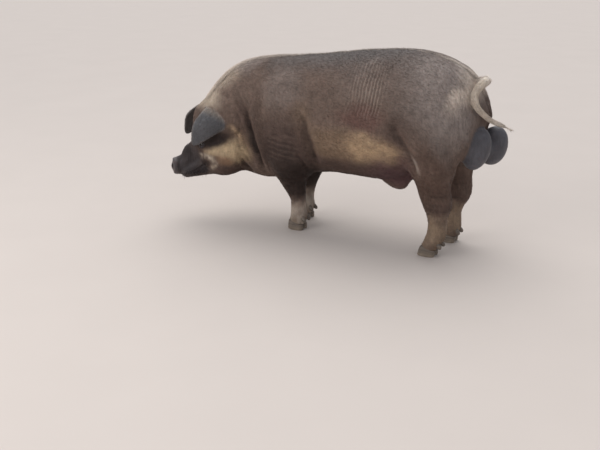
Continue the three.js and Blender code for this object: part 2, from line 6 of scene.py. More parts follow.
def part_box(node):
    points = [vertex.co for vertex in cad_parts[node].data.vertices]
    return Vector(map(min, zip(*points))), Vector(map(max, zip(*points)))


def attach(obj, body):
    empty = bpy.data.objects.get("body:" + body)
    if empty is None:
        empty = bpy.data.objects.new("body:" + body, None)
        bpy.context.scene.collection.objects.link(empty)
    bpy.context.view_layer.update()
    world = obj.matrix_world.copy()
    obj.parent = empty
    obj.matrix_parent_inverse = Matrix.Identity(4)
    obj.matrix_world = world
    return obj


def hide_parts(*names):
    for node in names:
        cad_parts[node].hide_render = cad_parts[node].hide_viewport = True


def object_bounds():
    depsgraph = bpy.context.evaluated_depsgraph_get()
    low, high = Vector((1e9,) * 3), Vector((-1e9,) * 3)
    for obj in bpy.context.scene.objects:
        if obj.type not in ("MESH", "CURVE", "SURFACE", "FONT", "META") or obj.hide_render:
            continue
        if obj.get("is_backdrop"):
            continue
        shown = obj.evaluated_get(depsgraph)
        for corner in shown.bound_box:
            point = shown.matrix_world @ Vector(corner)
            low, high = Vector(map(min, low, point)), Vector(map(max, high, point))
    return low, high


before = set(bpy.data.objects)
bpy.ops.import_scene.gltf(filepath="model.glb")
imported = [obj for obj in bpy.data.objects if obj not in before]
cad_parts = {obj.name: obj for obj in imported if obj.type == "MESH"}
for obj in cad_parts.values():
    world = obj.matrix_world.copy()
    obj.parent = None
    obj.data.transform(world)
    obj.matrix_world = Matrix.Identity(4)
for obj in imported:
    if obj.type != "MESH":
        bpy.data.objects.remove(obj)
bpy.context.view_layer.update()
print("frame loaded")


# small tools

def unit(v):
    v = np.asarray(v, float)
    return v / np.maximum(np.linalg.norm(v, axis=-1, keepdims=True), 1e-12)


def fade(x, start, end):
    # 0 at start, 1 at end, smooth in between; start may be the larger of the two
    t = np.clip((x - start) / (end - start), 0, 1)
    return t * t * (3 - 2 * t)


def band(x, start, full, last, end):
    # 0 up to start, 1 from full to last, 0 again past end
    return fade(x, start, full) * fade(x, end, last)


def curve(at, values, x):
    # smooth curve through the values at the places "at": cubic pieces whose slopes come from the neighbours
    at, values = np.asarray(at, float), np.asarray(values, float)
    slope = np.gradient(values, at)
    i = np.clip(np.searchsorted(at, x) - 1, 0, len(at) - 2)
    h = at[i + 1] - at[i]
    t = np.clip((x - at[i]) / h, 0, 1)
    start = values[i] * (1 + 2 * t) + slope[i] * h * t
    end = values[i + 1] * (3 - 2 * t) - slope[i + 1] * h * (1 - t)
    return start * (1 - t) ** 2 + end * t * t


def smoothMin(a, b, k):
    # the smaller of two distances, rounded over where they differ by less than k
    h = np.clip(.5 + .5 * (b - a) / k, 0, 1)
    return b * (1 - h) + a * h - k * h * (1 - h)


def smoothMax(a, b, k):
    return -smoothMin(-a, -b, k)


def mirrored(p):
    # both sides of the body laid on the one with sideways above 0
    return np.stack([p[..., 0], np.abs(p[..., 1]), p[..., 2]], -1)


def turnPlane(a, b, degrees):
    c, s = np.cos(np.radians(degrees)), np.sin(np.radians(degrees))
    return a * c + b * s, -a * s + b * c


def ball(p, centre, radii, tilt=0):
    # distance to an ellipsoid, near enough: scaled radius times itself less one, over its gradient
    q = p - np.asarray(centre)
    x, z = turnPlane(q[..., 0], q[..., 2], tilt)
    q = np.stack([x, q[..., 1], z], -1) / np.asarray(radii)
    k = np.linalg.norm(q, axis=-1)
    return k * (k - 1) / np.maximum(np.linalg.norm(q / np.asarray(radii), axis=-1), 1e-6)


def section(a, b, ra, rb, square):
    # distance to a rounded section: the radii's ratios, each to the power "square", add up to one
    ra, rb = np.maximum(ra, 1e-3), np.maximum(rb, 1e-3)
    u, v = np.abs(a) / ra, np.abs(b) / rb
    q = np.maximum(u ** square + v ** square, 1e-9) ** (1 / square)
    slope = np.hypot(u ** (square - 1) / ra, v ** (square - 1) / rb) * q ** (1 - square)
    return (q - 1) / np.maximum(slope, 1 / np.maximum(ra, rb))


def bar(p, start, end, startRadius, endRadius, flat=1.):
    # round bar that tapers from start to end, squeezed sideways by "flat"
    squeeze = np.array([1, 1 / flat, 1])
    start, end, q = np.asarray(start) * squeeze, np.asarray(end) * squeeze, p * squeeze
    line = end - start
    t = np.clip((q - start) @ line / (line @ line), 0, 1)
    away = np.linalg.norm(q - (start + t[..., None] * line), axis=-1)
    return (away - startRadius - (endRadius - startRadius) * t) * min(1, flat)


def within(p, low, high, shape, far=.5):
    # works a shape out only inside a box round it, and calls the rest far away
    keep = ((p > np.asarray(low)) & (p < np.asarray(high))).all(-1)
    out = np.full(p.shape[:-1], far)
    if keep.any():
        out[keep] = shape(p[keep])
    return out


lattice = np.random.default_rng(7).random((32, 32, 32))


def noise(p, size, shift=0):
    # smooth random hills from -1 to 1, as wide as "size": lattice values mixed by eased shares
    q = np.asarray(p) / size + 11.3 + 3.7 * shift
    i = np.floor(q).astype(int)
    t = q - i
    t = t * t * (3 - 2 * t)
    total = 0
    for corner in np.ndindex(2, 2, 2):
        c = np.array(corner)
        share = np.prod(np.where(c == 1, t, 1 - t), axis=-1)
        j = (i + c) % 32
        total = total + share * lattice[j[..., 0], j[..., 1], j[..., 2]]
    return total * 2 - 1


# the neck's turn: the body is shaped along a straight spine, then the neck bends to the left

neck = dict(start=-.50, length=.30, turn=np.radians(41))
neckRadius = neck["length"] / neck["turn"]


def straighten(p):
    # body point to straight-spine point: along, sideways, up
    x, y, z = p[..., 0], p[..., 1], p[..., 2]
    angle = np.arctan2(neck["start"] - x, y + neckRadius)
    reach = np.hypot(x - neck["start"], y + neckRadius)
    along = np.where(angle < 0, x, neck["start"] - neckRadius * angle)
    side = np.where(angle < 0, y, reach - neckRadius)
    c, s = np.cos(neck["turn"]), np.sin(neck["turn"])
    dx, dy = x - neck["start"] + neckRadius * s, y + neckRadius - neckRadius * c
    beyond = angle > neck["turn"]
    along = np.where(beyond, neck["start"] - neck["length"] + dx * c + dy * s, along)
    side = np.where(beyond, -dx * s + dy * c, side)
    return np.stack([along, side, z], -1)


def turnAt(along):
    return np.clip((neck["start"] - along) / neckRadius, 0, neck["turn"])


def bend(s):
    # straight-spine point to body point
    s = np.asarray(s, float)
    angle = turnAt(s[..., 0])
    over = np.maximum(neck["start"] - neck["length"] - s[..., 0], 0)
    before = np.maximum(s[..., 0] - neck["start"], 0)
    x = neck["start"] - (neckRadius + s[..., 1]) * np.sin(angle) - over * np.cos(angle) + before
    y = -neckRadius + (neckRadius + s[..., 1]) * np.cos(angle) - over * np.sin(angle)
    return np.stack([x, y, s[..., 2]], -1)


def bendDirection(d, along):
    angle = turnAt(along)
    c, s = np.cos(angle), np.sin(angle)
    return np.stack([d[..., 0] * c - d[..., 1] * s, d[..., 0] * s + d[..., 1] * c, d[..., 2]], -1)


# flesh: the same sizes as the solids, in metres

barrel = dict(
    along=[-.95, -.88, -.80, -.70, -.60, -.50, -.35, -.18, 0, .12, .22, .32, .40, .47, .515, .55, .575],
    top=[.59, .695, .780, .840, .862, .872, .890, .911, .934, .943, .943, .926, .897, .858, .812, .755, .69],
    bottom=[.42, .345, .288, .260, .240, .252, .288, .314, .318, .322, .358, .412, .452, .486, .53, .59, .64],
    width=[.05, .118, .146, .174, .200, .222, .243, .256, .265, .264, .256, .238, .208, .160, .110, .07, .03],
    square=2.35)
muscles = dict(
    shoulder=dict(centre=(-.375, .158, .570), radii=(.150, .085, .235), tilt=12, blend=.06),
    upperArm=dict(centre=(-.360, .165, .430), radii=(.105, .072, .125), tilt=-20, blend=.05),
    elbow=dict(centre=(-.312, .128, .350), radii=(.040, .040, .055), tilt=0, blend=.035),
    ham=dict(centre=(.352, .122, .625), radii=(.178, .130, .230), tilt=6, blend=.055),
    thigh=dict(centre=(.355, .158, .500), radii=(.105, .095, .155), tilt=14, blend=.045),
    hock=dict(centre=(.432, .135, .262), radii=(.024, .026, .040), tilt=-10, blend=.03))
foreLeg = dict(
    height=[-.01, .045, .075, .11, .16, .20, .25, .31, .38, .46],
    along=[-.374, -.372, -.366, -.368, -.369, -.378, -.390, -.396, -.388, -.37],
    side=[0, 0, 0, .002, .006, .010, .016, .028, .046, .062],
    depth=[.040, .044, .045, .041, .0425, .052, .072, .095, .105, .06],
    width=[.040, .042, .042, .036, .036, .043, .053, .066, .074, .03])
hindLeg = dict(
    height=[-.01, .045, .075, .11, .16, .205, .25, .30, .36, .43, .52],
    along=[.354, .366, .384, .396, .399, .396, .390, .380, .374, .368, .35],
    side=[0, 0, .001, .003, .005, .007, .010, .015, .021, .026, .026],
    depth=[.040, .043, .047, .046, .046, .050, .063, .075, .083, .095, .06],
    width=[.042, .043, .042, .037, .037, .042, .047, .057, .068, .078, .04])
farHindLeg = dict(hindLeg, along=[.372, .382, .388, .387, .386, .400, .405, .396, .386, .376, .36])
legs = dict(
    fore_left=dict(shape=foreLeg, step=0, track=.088, side=-1),
    fore_right=dict(shape=foreLeg, step=-.058, track=.098, side=1),
    hind_left=dict(shape=hindLeg, step=0, track=.119, side=-1),
    hind_right=dict(shape=farHindLeg, step=0, track=.119, side=1))
head = dict(
    skull=dict(centre=(-.880, 0, .520), radii=(.108, .100, .128), tilt=20),
    muzzle=dict(start=(-.935, 0, .400), end=(-1.076, 0, .302), startRadius=.072, endRadius=.042, flat=.88),
    jaw=dict(start=(-.86, 0, .335), end=(-1.030, 0, .262), startRadius=.090, endRadius=.026, flat=.92),
    jowl=dict(centre=(-.835, .080, .375), radii=(.120, .086, .112)),
    cheek=dict(centre=(-.895, .066, .425), radii=(.078, .046, .058), tilt=-25),
    brow=dict(centre=(-.965, .050, .465), radii=(.040, .032, .026), tilt=40),
    lip=dict(start=(-.952, .046, .328), end=(-1.045, .030, .273), startRadius=.022, endRadius=.016))
headBlends = dict(muzzle=.05, jaw=.03, jowl=.06, cheek=.035, brow=.02, lip=.02)
disc = dict(centre=(-1.091, 0, .304), radius=.0435, half=.014, tilt=-4, oval=1.08)
nostril = dict(side=.018, up=.004, front=.0145, radii=(.0072, .0100, .013))
eye = dict(centre=(-.953, .092, .434), radius=.0133, lid=.0166, blend=.016, socket=.0125,
           out=(-.35, .92, .15), slit=(-.90, -.30, -.35), halfLength=.0120, halfHeight=.0066)
ear = dict(
    middle=(-.925, .150, .522), down=(-.085, .030, -.152), front=(-.87, -.05, .48),
    forward={-1: 0., 1: -.016}, sunk={-1: 0., 1: -.010}, cup=.020, cupWidth=.07,
    at=[-.125, -.105, -.085, -.06, -.03, 0, .035, .07, .095, .108],
    half=[.050, .062, .069, .072, .072, .066, .052, .034, .020, .009],
    shift=[-.020, -.016, -.012, -.006, .004, .016, .025, .030, .032, .033],
    lift=[-.075, -.052, -.028, -.008, .004, .008, .006, .001, -.004, -.007],
    thick=[.016, .014, .011, .009, .0085, .008, .0075, .007, .0065, .006])
tail = dict(
    path=[(.488, .004, .796), (.528, -.001, .817), (.551, -.022, .826), (.548, -.052, .820),
          (.535, -.086, .800), (.529, -.110, .767), (.543, -.114, .725), (.566, -.094, .693),
          (.588, -.060, .664), (.614, -.030, .644), (.643, -.010, .630), (.674, 0, .614)],
    radius=[.033, .027, .022, .020, .0185, .0175, .0160, .0145, .0130, .0115, .0095, .006])
sheath = dict(start=(-.01, 0, .345), end=(.195, 0, .358), startRadius=.030, endRadius=.044, flat=.8)
sheathTip = dict(centre=(.132, 0, .314), radii=(.066, .038, .048), tilt=-24)
testicles = dict(
    left=dict(centre=(.540, -.060, .525), radii=(.064, .057, .100), tilt=-12),
    right=dict(centre=(.582, .060, .520), radii=(.066, .057, .095), tilt=-12))
coatDepth = dict(body=.0042, head=.0022, shin=.0018, ear=.0018, tail=.0022, sheath=.0016, scrotum=.0008)
coronet = dict(height=.040, slope=.28)          # the plane where the skin ends on the claws


def barrelShape(s):
    b = barrel
    top, bottom, width = [curve(b["along"], b[k], s[..., 0]) for k in ("top", "bottom", "width")]
    d = section(s[..., 1], s[..., 2] - (top + bottom) / 2, width, (top - bottom) / 2, b["square"])
    past = np.maximum(np.maximum(b["along"][0] - s[..., 0], s[..., 0] - b["along"][-1]), 0)
    return np.where(past > 0, np.hypot(np.maximum(d, 0), past), d)


def legAxis(leg, z):
    shape = leg["shape"]
    lean = fade(z, .40, .10)
    x = curve(shape["height"], shape["along"], z) + leg["step"] * lean
    return x, leg["side"] * (leg["track"] + curve(shape["height"], shape["side"], z))


def legShape(p, leg):
    z, shape = p[..., 2], leg["shape"]
    x, y = legAxis(leg, z)
    depth, width = [curve(shape["height"], shape[k], z) for k in ("depth", "width")]
    d = section(p[..., 0] - x, p[..., 1] - y, depth, width, 2.1)
    out = np.maximum(z - shape["height"][-1], 0) + np.maximum(shape["height"][0] - z, 0)
    return np.where(out > 0, np.hypot(np.maximum(d, 0), out), d)


def discPlace(a):
    # on the snout's disc: distance to the front, sideways, up
    q = a - np.asarray(disc["centre"])
    t = np.radians(disc["tilt"])
    fore = -(q[..., 0] * np.cos(t) - q[..., 2] * np.sin(t))
    return fore, q[..., 1], q[..., 0] * np.sin(t) + q[..., 2] * np.cos(t)


def headShape(s):
    a = mirrored(s)
    d = ball(a, **head["skull"])
    for name in list(head)[1:]:
        part = (ball if "centre" in head[name] else bar)(a, **head[name])
        d = smoothMin(d, part, headBlends[name])
    fore, side, up = discPlace(a)
    rim = np.hypot(side / disc["oval"], up) - disc["radius"]
    return smoothMin(d, smoothMax(rim, np.abs(fore) - disc["half"], .010), .014)


def earPlace(s, side):
    # on the ear's leaf: along to the tip, across from its middle line, height over it, half width, thickness
    offset = np.array([ear["forward"][side], 0, ear["sunk"][side]]) + ear["middle"]
    q = s * np.array([1, side, 1]) - offset
    u, v, n = [q @ axis for axis in earAxes]
    lift = curve(ear["at"], ear["lift"], u)
    across = v - curve(ear["at"], ear["shift"], u)
    cup = ear["cup"] * np.clip(across / ear["cupWidth"], -1.4, 1.4) ** 2
    slope = np.sqrt(1 + curve(ear["at"], np.gradient(ear["lift"], ear["at"]), u) ** 2)
    half, thick = [curve(ear["at"], ear[k], u) for k in ("half", "thick")]
    return u, across, (n - lift + cup) / slope, half, thick


earDown = unit(ear["down"])
earFront = unit(np.array(ear["front"]) - earDown * np.dot(ear["front"], earDown))
earOut = np.cross(earFront, earDown)
earOut = earOut * np.sign(earOut[1])
earAxes = (earDown, earFront, earOut)


def earShape(s, side):
    u, across, height, half, thick = earPlace(s, side)
    end = np.maximum(u - ear["at"][-1], ear["at"][0] - u)
    return smoothMax(np.abs(height) - thick, smoothMax((np.abs(across) - half) * .85, end, .008), .010)


tailPoints = range(len(tail["path"]))
tailStops = np.linspace(0, tailPoints[-1], 45)
tailLine = np.stack([curve(tailPoints, values, tailStops) for values in np.array(tail["path"]).T], -1)
tailRadius = curve(tailPoints, tail["radius"], tailStops)


def tailPlace(p):
    # nearest place on the tail's line: distance to its surface, share of its length, and its direction there
    best, share, way = np.full(p.shape[:-1], 9.), np.zeros(p.shape[:-1]), np.zeros(p.shape)
    for i in range(len(tailLine) - 1):
        line = tailLine[i + 1] - tailLine[i]
        t = np.clip((p - tailLine[i]) @ line / (line @ line), 0, 1)
        away = np.linalg.norm(p - tailLine[i] - t[..., None] * line, axis=-1)
        d = away - tailRadius[i] - (tailRadius[i + 1] - tailRadius[i]) * t
        near = d < best
        best = np.where(near, d, best)
        share = np.where(near, (i + t) / (len(tailLine) - 1), share)
        way = np.where(near[..., None], unit(line), way)
    return best, share, way


def scrotumShape(p):
    return smoothMin(ball(p, **testicles["left"]), ball(p, **testicles["right"]), .05)


def eyeFrame(a):
    # on the mirrored head: outwards from the eye, along its slit, across the slit
    q = a - np.asarray(eye["centre"])
    out = unit(eye["out"])
    slit = unit(np.array(eye["slit"]) - out * np.dot(eye["slit"], out))
    return q @ out, q @ slit, q @ np.cross(out, slit), np.linalg.norm(q, axis=-1)


def openEyes(s, d):
    # a lid round the ball, with an almond opening down to the socket
    a = mirrored(s)
    out, along, across, reach = eyeFrame(a)
    d = smoothMin(d, reach - eye["lid"], eye["blend"])
    almond = np.abs(across + .0012) - eye["halfHeight"] * (1 - (along / eye["halfLength"]) ** 2)
    hole = np.maximum(np.maximum(almond, eye["socket"] - reach), np.maximum(.002 - out, reach - .026))
    return smoothMax(d, -hole, .0016)


def openNostrils(s, d):
    fore, side, up = discPlace(mirrored(s))
    q = np.stack([side - nostril["side"], up - nostril["up"], fore - nostril["front"]], -1)
    return smoothMax(d, -ball(q, (0, 0, 0), nostril["radii"]), .004)


def skinField(p):
    # distance to the skin: the flesh drawn in by the depth of its coat
    s, a = straighten(p), mirrored(p)
    d = within(s, (-1.1, -.5, .14), (.7, .5, 1.1), barrelShape)
    d = smoothMin(d, within(s, (-1.25, -.30, .14), (-.66, .30, .78), headShape), .055)
    for m in muscles.values():
        room, centre = max(m["radii"]) + .09, np.array(m["centre"])
        part = within(a, centre - room, centre + room, lambda q: ball(q, centre, m["radii"], m["tilt"]))
        d = smoothMin(d, part, m["blend"])
    for leg in legs.values():
        low = np.array([-.62 if leg["shape"] is foreLeg else .18, -.34 if leg["side"] < 0 else -.08, -.1])
        d = smoothMin(d, within(p, low, low + (.50, .42, .70), lambda q: legShape(q, leg)), .045)
    depth = coatDepth
    d = d + depth["body"] + (depth["head"] - depth["body"]) * fade(s[..., 0], -.70, -.82)
    d = d + (depth["shin"] - depth["body"]) * fade(p[..., 2], .34, .24) * fade(s[..., 0], -.62, -.56)

    def join(d, q, low, high, shape, name, blend):
        return smoothMin(d, within(q, low, high, shape) + depth[name], blend)

    def cut(d, near, change):
        if near.any():
            d[near] = change(near)
    d = join(d, p, (-.16, -.2, .16), (.40, .2, .52), lambda q: bar(q, **sheath), "sheath", .04)
    d = join(d, p, (-.05, -.2, .16), (.32, .2, .48), lambda q: ball(q, **sheathTip), "sheath", .03)
    d = join(d, p, (.38, -.24, .32), (.76, .24, .74), scrotumShape, "scrotum", .03)
    small = mirrored(s)
    cut(d, (np.abs(small - eye["centre"]) < .04).all(-1), lambda k: openEyes(s[k], d[k]))
    for side in (-1, 1):
        low, high = (-1.17, -.32 if side < 0 else .02, .28), (-.68, -.02 if side < 0 else .34, .78)
        d = join(d, s, low, high, lambda q: earShape(q, side), "ear", .002 + .010 * fade(s[..., 2], .47, .54))
    d = join(d, p, (.42, -.20, .54), (.76, .09, .90), lambda q: tailPlace(q)[0], "tail", .012)
    cut(d, (np.abs(small - (-1.1, .02, .304)) < .04).all(-1), lambda k: openNostrils(s[k], d[k]))
    for leg in legs.values():
        x, y = legAxis(leg, np.array(coronet["height"]))
        below = coronet["height"] - p[..., 2] - coronet["slope"] * (p[..., 0] - x)
        near = (np.abs(p[..., 0] - x) < .09) & (np.abs(p[..., 1] - y) < .07) & (p[..., 2] < .10)
        cut(d, near, lambda k: smoothMax(d[k], below[k], .006))
    return d


# surface net: one vertex in each cell that the skin passes, with smaller cells where a box asks for them

skip, batch, mostCells = 4, 300000, 4096        # coarse step, points at once, most cells along an axis


def gridPoints(axes):
    return np.stack(np.meshgrid(*axes, indexing="ij"), -1)


def sampleGrid(field, axes):
    # works the field out only near the surface, found on every fourth place first
    shape = [len(a) for a in axes]
    if min(shape) < 3 * skip:
        return field(gridPoints(axes))
    picks = [np.unique(np.append(np.arange(0, n, skip), n - 1)) for n in shape]
    rough = field(gridPoints([a[k] for a, k in zip(axes, picks)]))
    near = np.abs(rough) < skip * (axes[0][1] - axes[0][0]) * 1.5
    cells = np.zeros([n - 1 for n in rough.shape], bool)
    for i, j, k in np.ndindex(2, 2, 2):
        cells |= near[i:i + cells.shape[0], j:j + cells.shape[1], k:k + cells.shape[2]]
    before = [np.clip(np.arange(n) // skip, 0, len(k) - 2) for n, k in zip(shape, picks)]
    after = [np.clip((np.arange(n) - 1) // skip, 0, len(k) - 2) for n, k in zip(shape, picks)]
    inside = (rough < 0)[:-1, :-1, :-1]
    values = np.where(inside[np.ix_(*before)], -1., 1.)
    need = np.zeros(shape, bool)
    for i, j, k in np.ndindex(2, 2, 2):
        need |= cells[np.ix_(*[(before, after)[m][axis] for axis, m in enumerate((i, j, k))])]
    where = np.argwhere(need)
    found = np.empty(len(where))
    for i in range(0, len(where), batch):
        w = where[i:i + batch]
        found[i:i + batch] = field(np.stack([axes[k][w[:, k]] for k in range(3)], -1))
    values[need] = found
    return values


def surfaceNet(field, low, high, cell, boxes):
    low = np.asarray(low, float)
    top = max(b[0] for b in boxes)
    size = [cell / 2 ** level for level in range(top + 1)]
    areas = [[(np.zeros(3, int), np.ceil((np.asarray(high) - low) / cell).astype(int))]]
    for level in range(1, top + 1):
        areas.append([(np.floor((np.asarray(a) - low) / size[level - 1]).astype(int) * 2,
                       np.ceil((np.asarray(b) - low) / size[level - 1]).astype(int) * 2)
                      for rank, a, b in boxes if rank == level])

    def numbered(first, c):
        return ((first * mostCells + c[:, 0]) * mostCells + c[:, 1]) * mostCells + c[:, 2]

    def cellName(level, c):
        # number of the real cell that holds place c of this level
        out = np.zeros(len(c), np.int64)
        for k in range(level + 1):              # the finest box that holds it has the last word
            q = c >> (level - k)
            hit = np.any([((q >= a) & (q < b)).all(1) for a, b in areas[k]], 0)
            out[hit] = numbered(k, q[hit])
        return out

    quads, crossings = [], []
    for level in range(top + 1):
        names, places, corners = [], [], []
        for a, b in areas[level]:
            axes = [low[k] + size[level] * np.arange(a[k], b[k] + 1) for k in range(3)]
            grid = sampleGrid(field, axes)
            solid = grid < 0
            for axis in range(3):
                step = np.eye(3, dtype=int)
                ways = [step[k] for k in range(3) if k != axis]
                edge = np.argwhere(np.diff(solid, axis=axis))
                if not len(edge):
                    continue
                g0, g1 = grid[tuple(edge.T)], grid[tuple((edge + step[axis]).T)]
                edge = edge + a
                place = low + size[level] * edge
                place[:, axis] += size[level] * g0 / (g0 - g1)
                keep = np.ones(len(edge), bool)
                if level < top:                 # edges that a finer box covers are left to it
                    for fa, fb in areas[level + 1]:
                        keep &= ~((edge * 2 >= fa) & (edge * 2 + 2 * step[axis] <= fb)).all(1)
                edge, place, flip = edge[keep], place[keep], (g0 < 0)[keep]
                ring = np.stack([cellName(level, edge + i * ways[0] + j * ways[1])
                                 for i, j in ((-1, -1), (0, -1), (0, 0), (-1, 0))], 1)
                if axis == 1:
                    ring = ring[:, ::-1]
                corners.append(np.where(flip[:, None], ring, ring[:, ::-1]))
                places.append(place)
                names.append(numbered(axis, edge))
        if names:                               # boxes of one level may share edges
            _, once = np.unique(np.concatenate(names), return_index=True)
            quads.append(np.concatenate(corners)[once])
            crossings.append(np.concatenate(places)[once])
    quads, crossings = np.concatenate(quads), np.concatenate(crossings)
    names, quads = np.unique(quads, return_inverse=True)
    quads = quads.reshape(-1, 4)
    points = np.stack([sum(np.bincount(quads[:, c], crossings[:, k], len(names)) for c in range(4))
                       for k in range(3)], -1)
    points /= np.bincount(quads.ravel(), minlength=len(names))[:, None]
    return points, quads, cell / 2. ** (names // mostCells ** 3)


def settle(field, points, size, rounds=3):
    # steps along the field's slope onto its zero surface, never farther than half a cell
    step = 2e-4
    for _ in range(rounds):
        d = field(points)
        slope = np.stack([field(points + np.eye(3)[k] * step) - d for k in range(3)], -1) / step
        move = -(d / np.maximum((slope ** 2).sum(-1), .1))[:, None] * slope
        reach = np.linalg.norm(move, axis=1, keepdims=True)
        points = points + move * np.minimum(1, .5 * size[:, None] / np.maximum(reach, 1e-9))
    return points, unit(slope)


def trianglesOf(points, quads):
    # each four-cornered face is split along its shorter diagonal; with a doubled corner it is one triangle
    a, b, c, d = quads.T
    short = np.linalg.norm(points[a] - points[c], axis=1) <= np.linalg.norm(points[b] - points[d], axis=1)
    halves = (a, b, np.where(short, c, d)), (np.where(short, a, b), c, d)
    both = np.concatenate([np.stack(half, 1) for half in halves])
    return both[(both != np.roll(both, 1, 1)).all(1)]


# folds and wrinkles, as heights added to the skin

folds = dict(                                   # along and up, on the body or along the straight spine
    shoulder=dict(path=[(-.268, .64), (-.251, .554), (-.213, .457), (-.204, .375)], width=.022, depth=.011),
    flank=dict(path=[(.205, .66), (.228, .588), (.265, .535), (.301, .470), (.322, .40)],
               width=.022, depth=.009),
    elbow=dict(path=[(-.30, .44), (-.27, .40), (-.262, .35)], width=.010, depth=.005),
    buttock=dict(path=[(.46, .56), (.470, .50), (.465, .42)], width=.020, depth=.003))
neckFolds = dict(
    jowl=dict(path=[(-.700, .63), (-.683, .568), (-.647, .494), (-.602, .418), (-.572, .350), (-.56, .27)],
              width=.021, depth=.016),
    throat=dict(path=[(-.745, .36), (-.70, .31), (-.66, .26)], width=.012, depth=.006),
    earRoot=dict(path=[(-.87, .50), (-.82, .475), (-.775, .49), (-.74, .54)], width=.012, depth=.004),
    snoutBack=dict(path=[(-1.058, .355), (-1.062, .31), (-1.055, .268)], width=.006, depth=.004))
thighEdge = [(.283, .515), (.300, .475), (.322, .430), (.336, .385)]
mouth = dict(path=[(-1.080, .258), (-1.03, .266), (-.97, .297), (-.940, .330)], width=.0042, depth=.007)


def nearLine(a, b, path):
    # distance in a plane to a line of points, and how far along it from 0 to 1
    away, share = np.full(a.shape, 9.), np.zeros(a.shape)
    for i, ((a0, b0), (a1, b1)) in enumerate(zip(path[:-1], path[1:])):
        t = np.clip(((a - a0) * (a1 - a0) + (b - b0) * (b1 - b0)) / ((a1 - a0) ** 2 + (b1 - b0) ** 2), 0, 1)
        d = np.hypot(a - a0 - t * (a1 - a0), b - b0 - t * (b1 - b0))
        share = np.where(d < away, (i + t) / (len(path) - 1), share)
        away = np.minimum(away, d)
    return away, share


def foldHeight(a, b, fold):
    # a valley that is a bell curve deep, between two low swellings, dying out at both ends
    away, share = nearLine(a, b, fold["path"])
    ends = band(share, 0, .22, .8, 1)
    w = away / fold["width"]
    return fold["depth"] * ends * (.16 * np.exp(-(w - 2.1) ** 2) - np.exp(-w ** 2))


def ridges(v, length):
    # rounded ridges with sharp valleys between them
    return np.abs(np.sin(np.pi * v / length)) - .64


def flankLines(p, s):
    # places of the upright creases: they bow a little and wander, and stand closer or wider apart
    rise = s[:, 2] - .78
    wander = .009 * noise(p, .08, 1) + .003 * noise(p, .025, 6) + .0048 * noise(p * (1, 1, .3), .050, 9)
    return (s[:, 0] + wander - .08 * rise + .25 * rise ** 2) / .0170


def flankShare(p, s):
    # how strong they are: a tall patch on the flank, broken up by noise
    along, up = s[:, 0], s[:, 2]
    patch = band(along, -.06, .02, .11, .20) * band(up, .60, .70, .87, .93)
    return patch * (.66 + .85 * noise(p * (1, 1, .5), .055, 5)).clip(.05, 1.3)


def shank(s):
    # the legs from knee and hock to the pastern
    return band(s[:, 2], .16, .20, .31, .36) * fade(s[:, 0], -.55, -.50)


def creases(v):
    # narrow raised lines, one at each whole number
    return (1 - np.abs(np.sin(np.pi * v))) ** 1.2 - .25


# wrinkles: height, length, how they run (along, side, up, wander), part, and where along, up and sideways
wrinkles = dict(
    rear=(.0010, .024, (.8, 0, .5, 1), "body", (.18, .24, .30, .40), (.50, .56, .70, .78)),
    collar=(.0030, .036, (.80, 0, .55, .8), "all", (-.80, -.74, -.62, -.55), (.26, .32, .66, .80)),
    arm=(.0012, .026, (.12, 0, 1, .7), "body", (-.50, -.44, -.32, -.26), (.40, .46, .52, .60)),
    pastern=(.0010, .011, (0, 0, 1, .4), "all", (-.55, -.50), (.05, .06, .095, .11)),
    bridge=(.0016, .0125, (1, .25, 0, .2), "face", (-1.055, -1.04, -.97, -.93), (.31, .35)),
    forehead=(.0018, .019, (0, 1.2, .35, .3), "face", (-.99, -.965, -.90, -.86), (.45, .49), (.07, .04)),
    cheek=(.0015, .018, (-.45, 0, 1, .3), "face", (-.93, -.90, -.83, -.79), (.33, .37, .45, .50)))


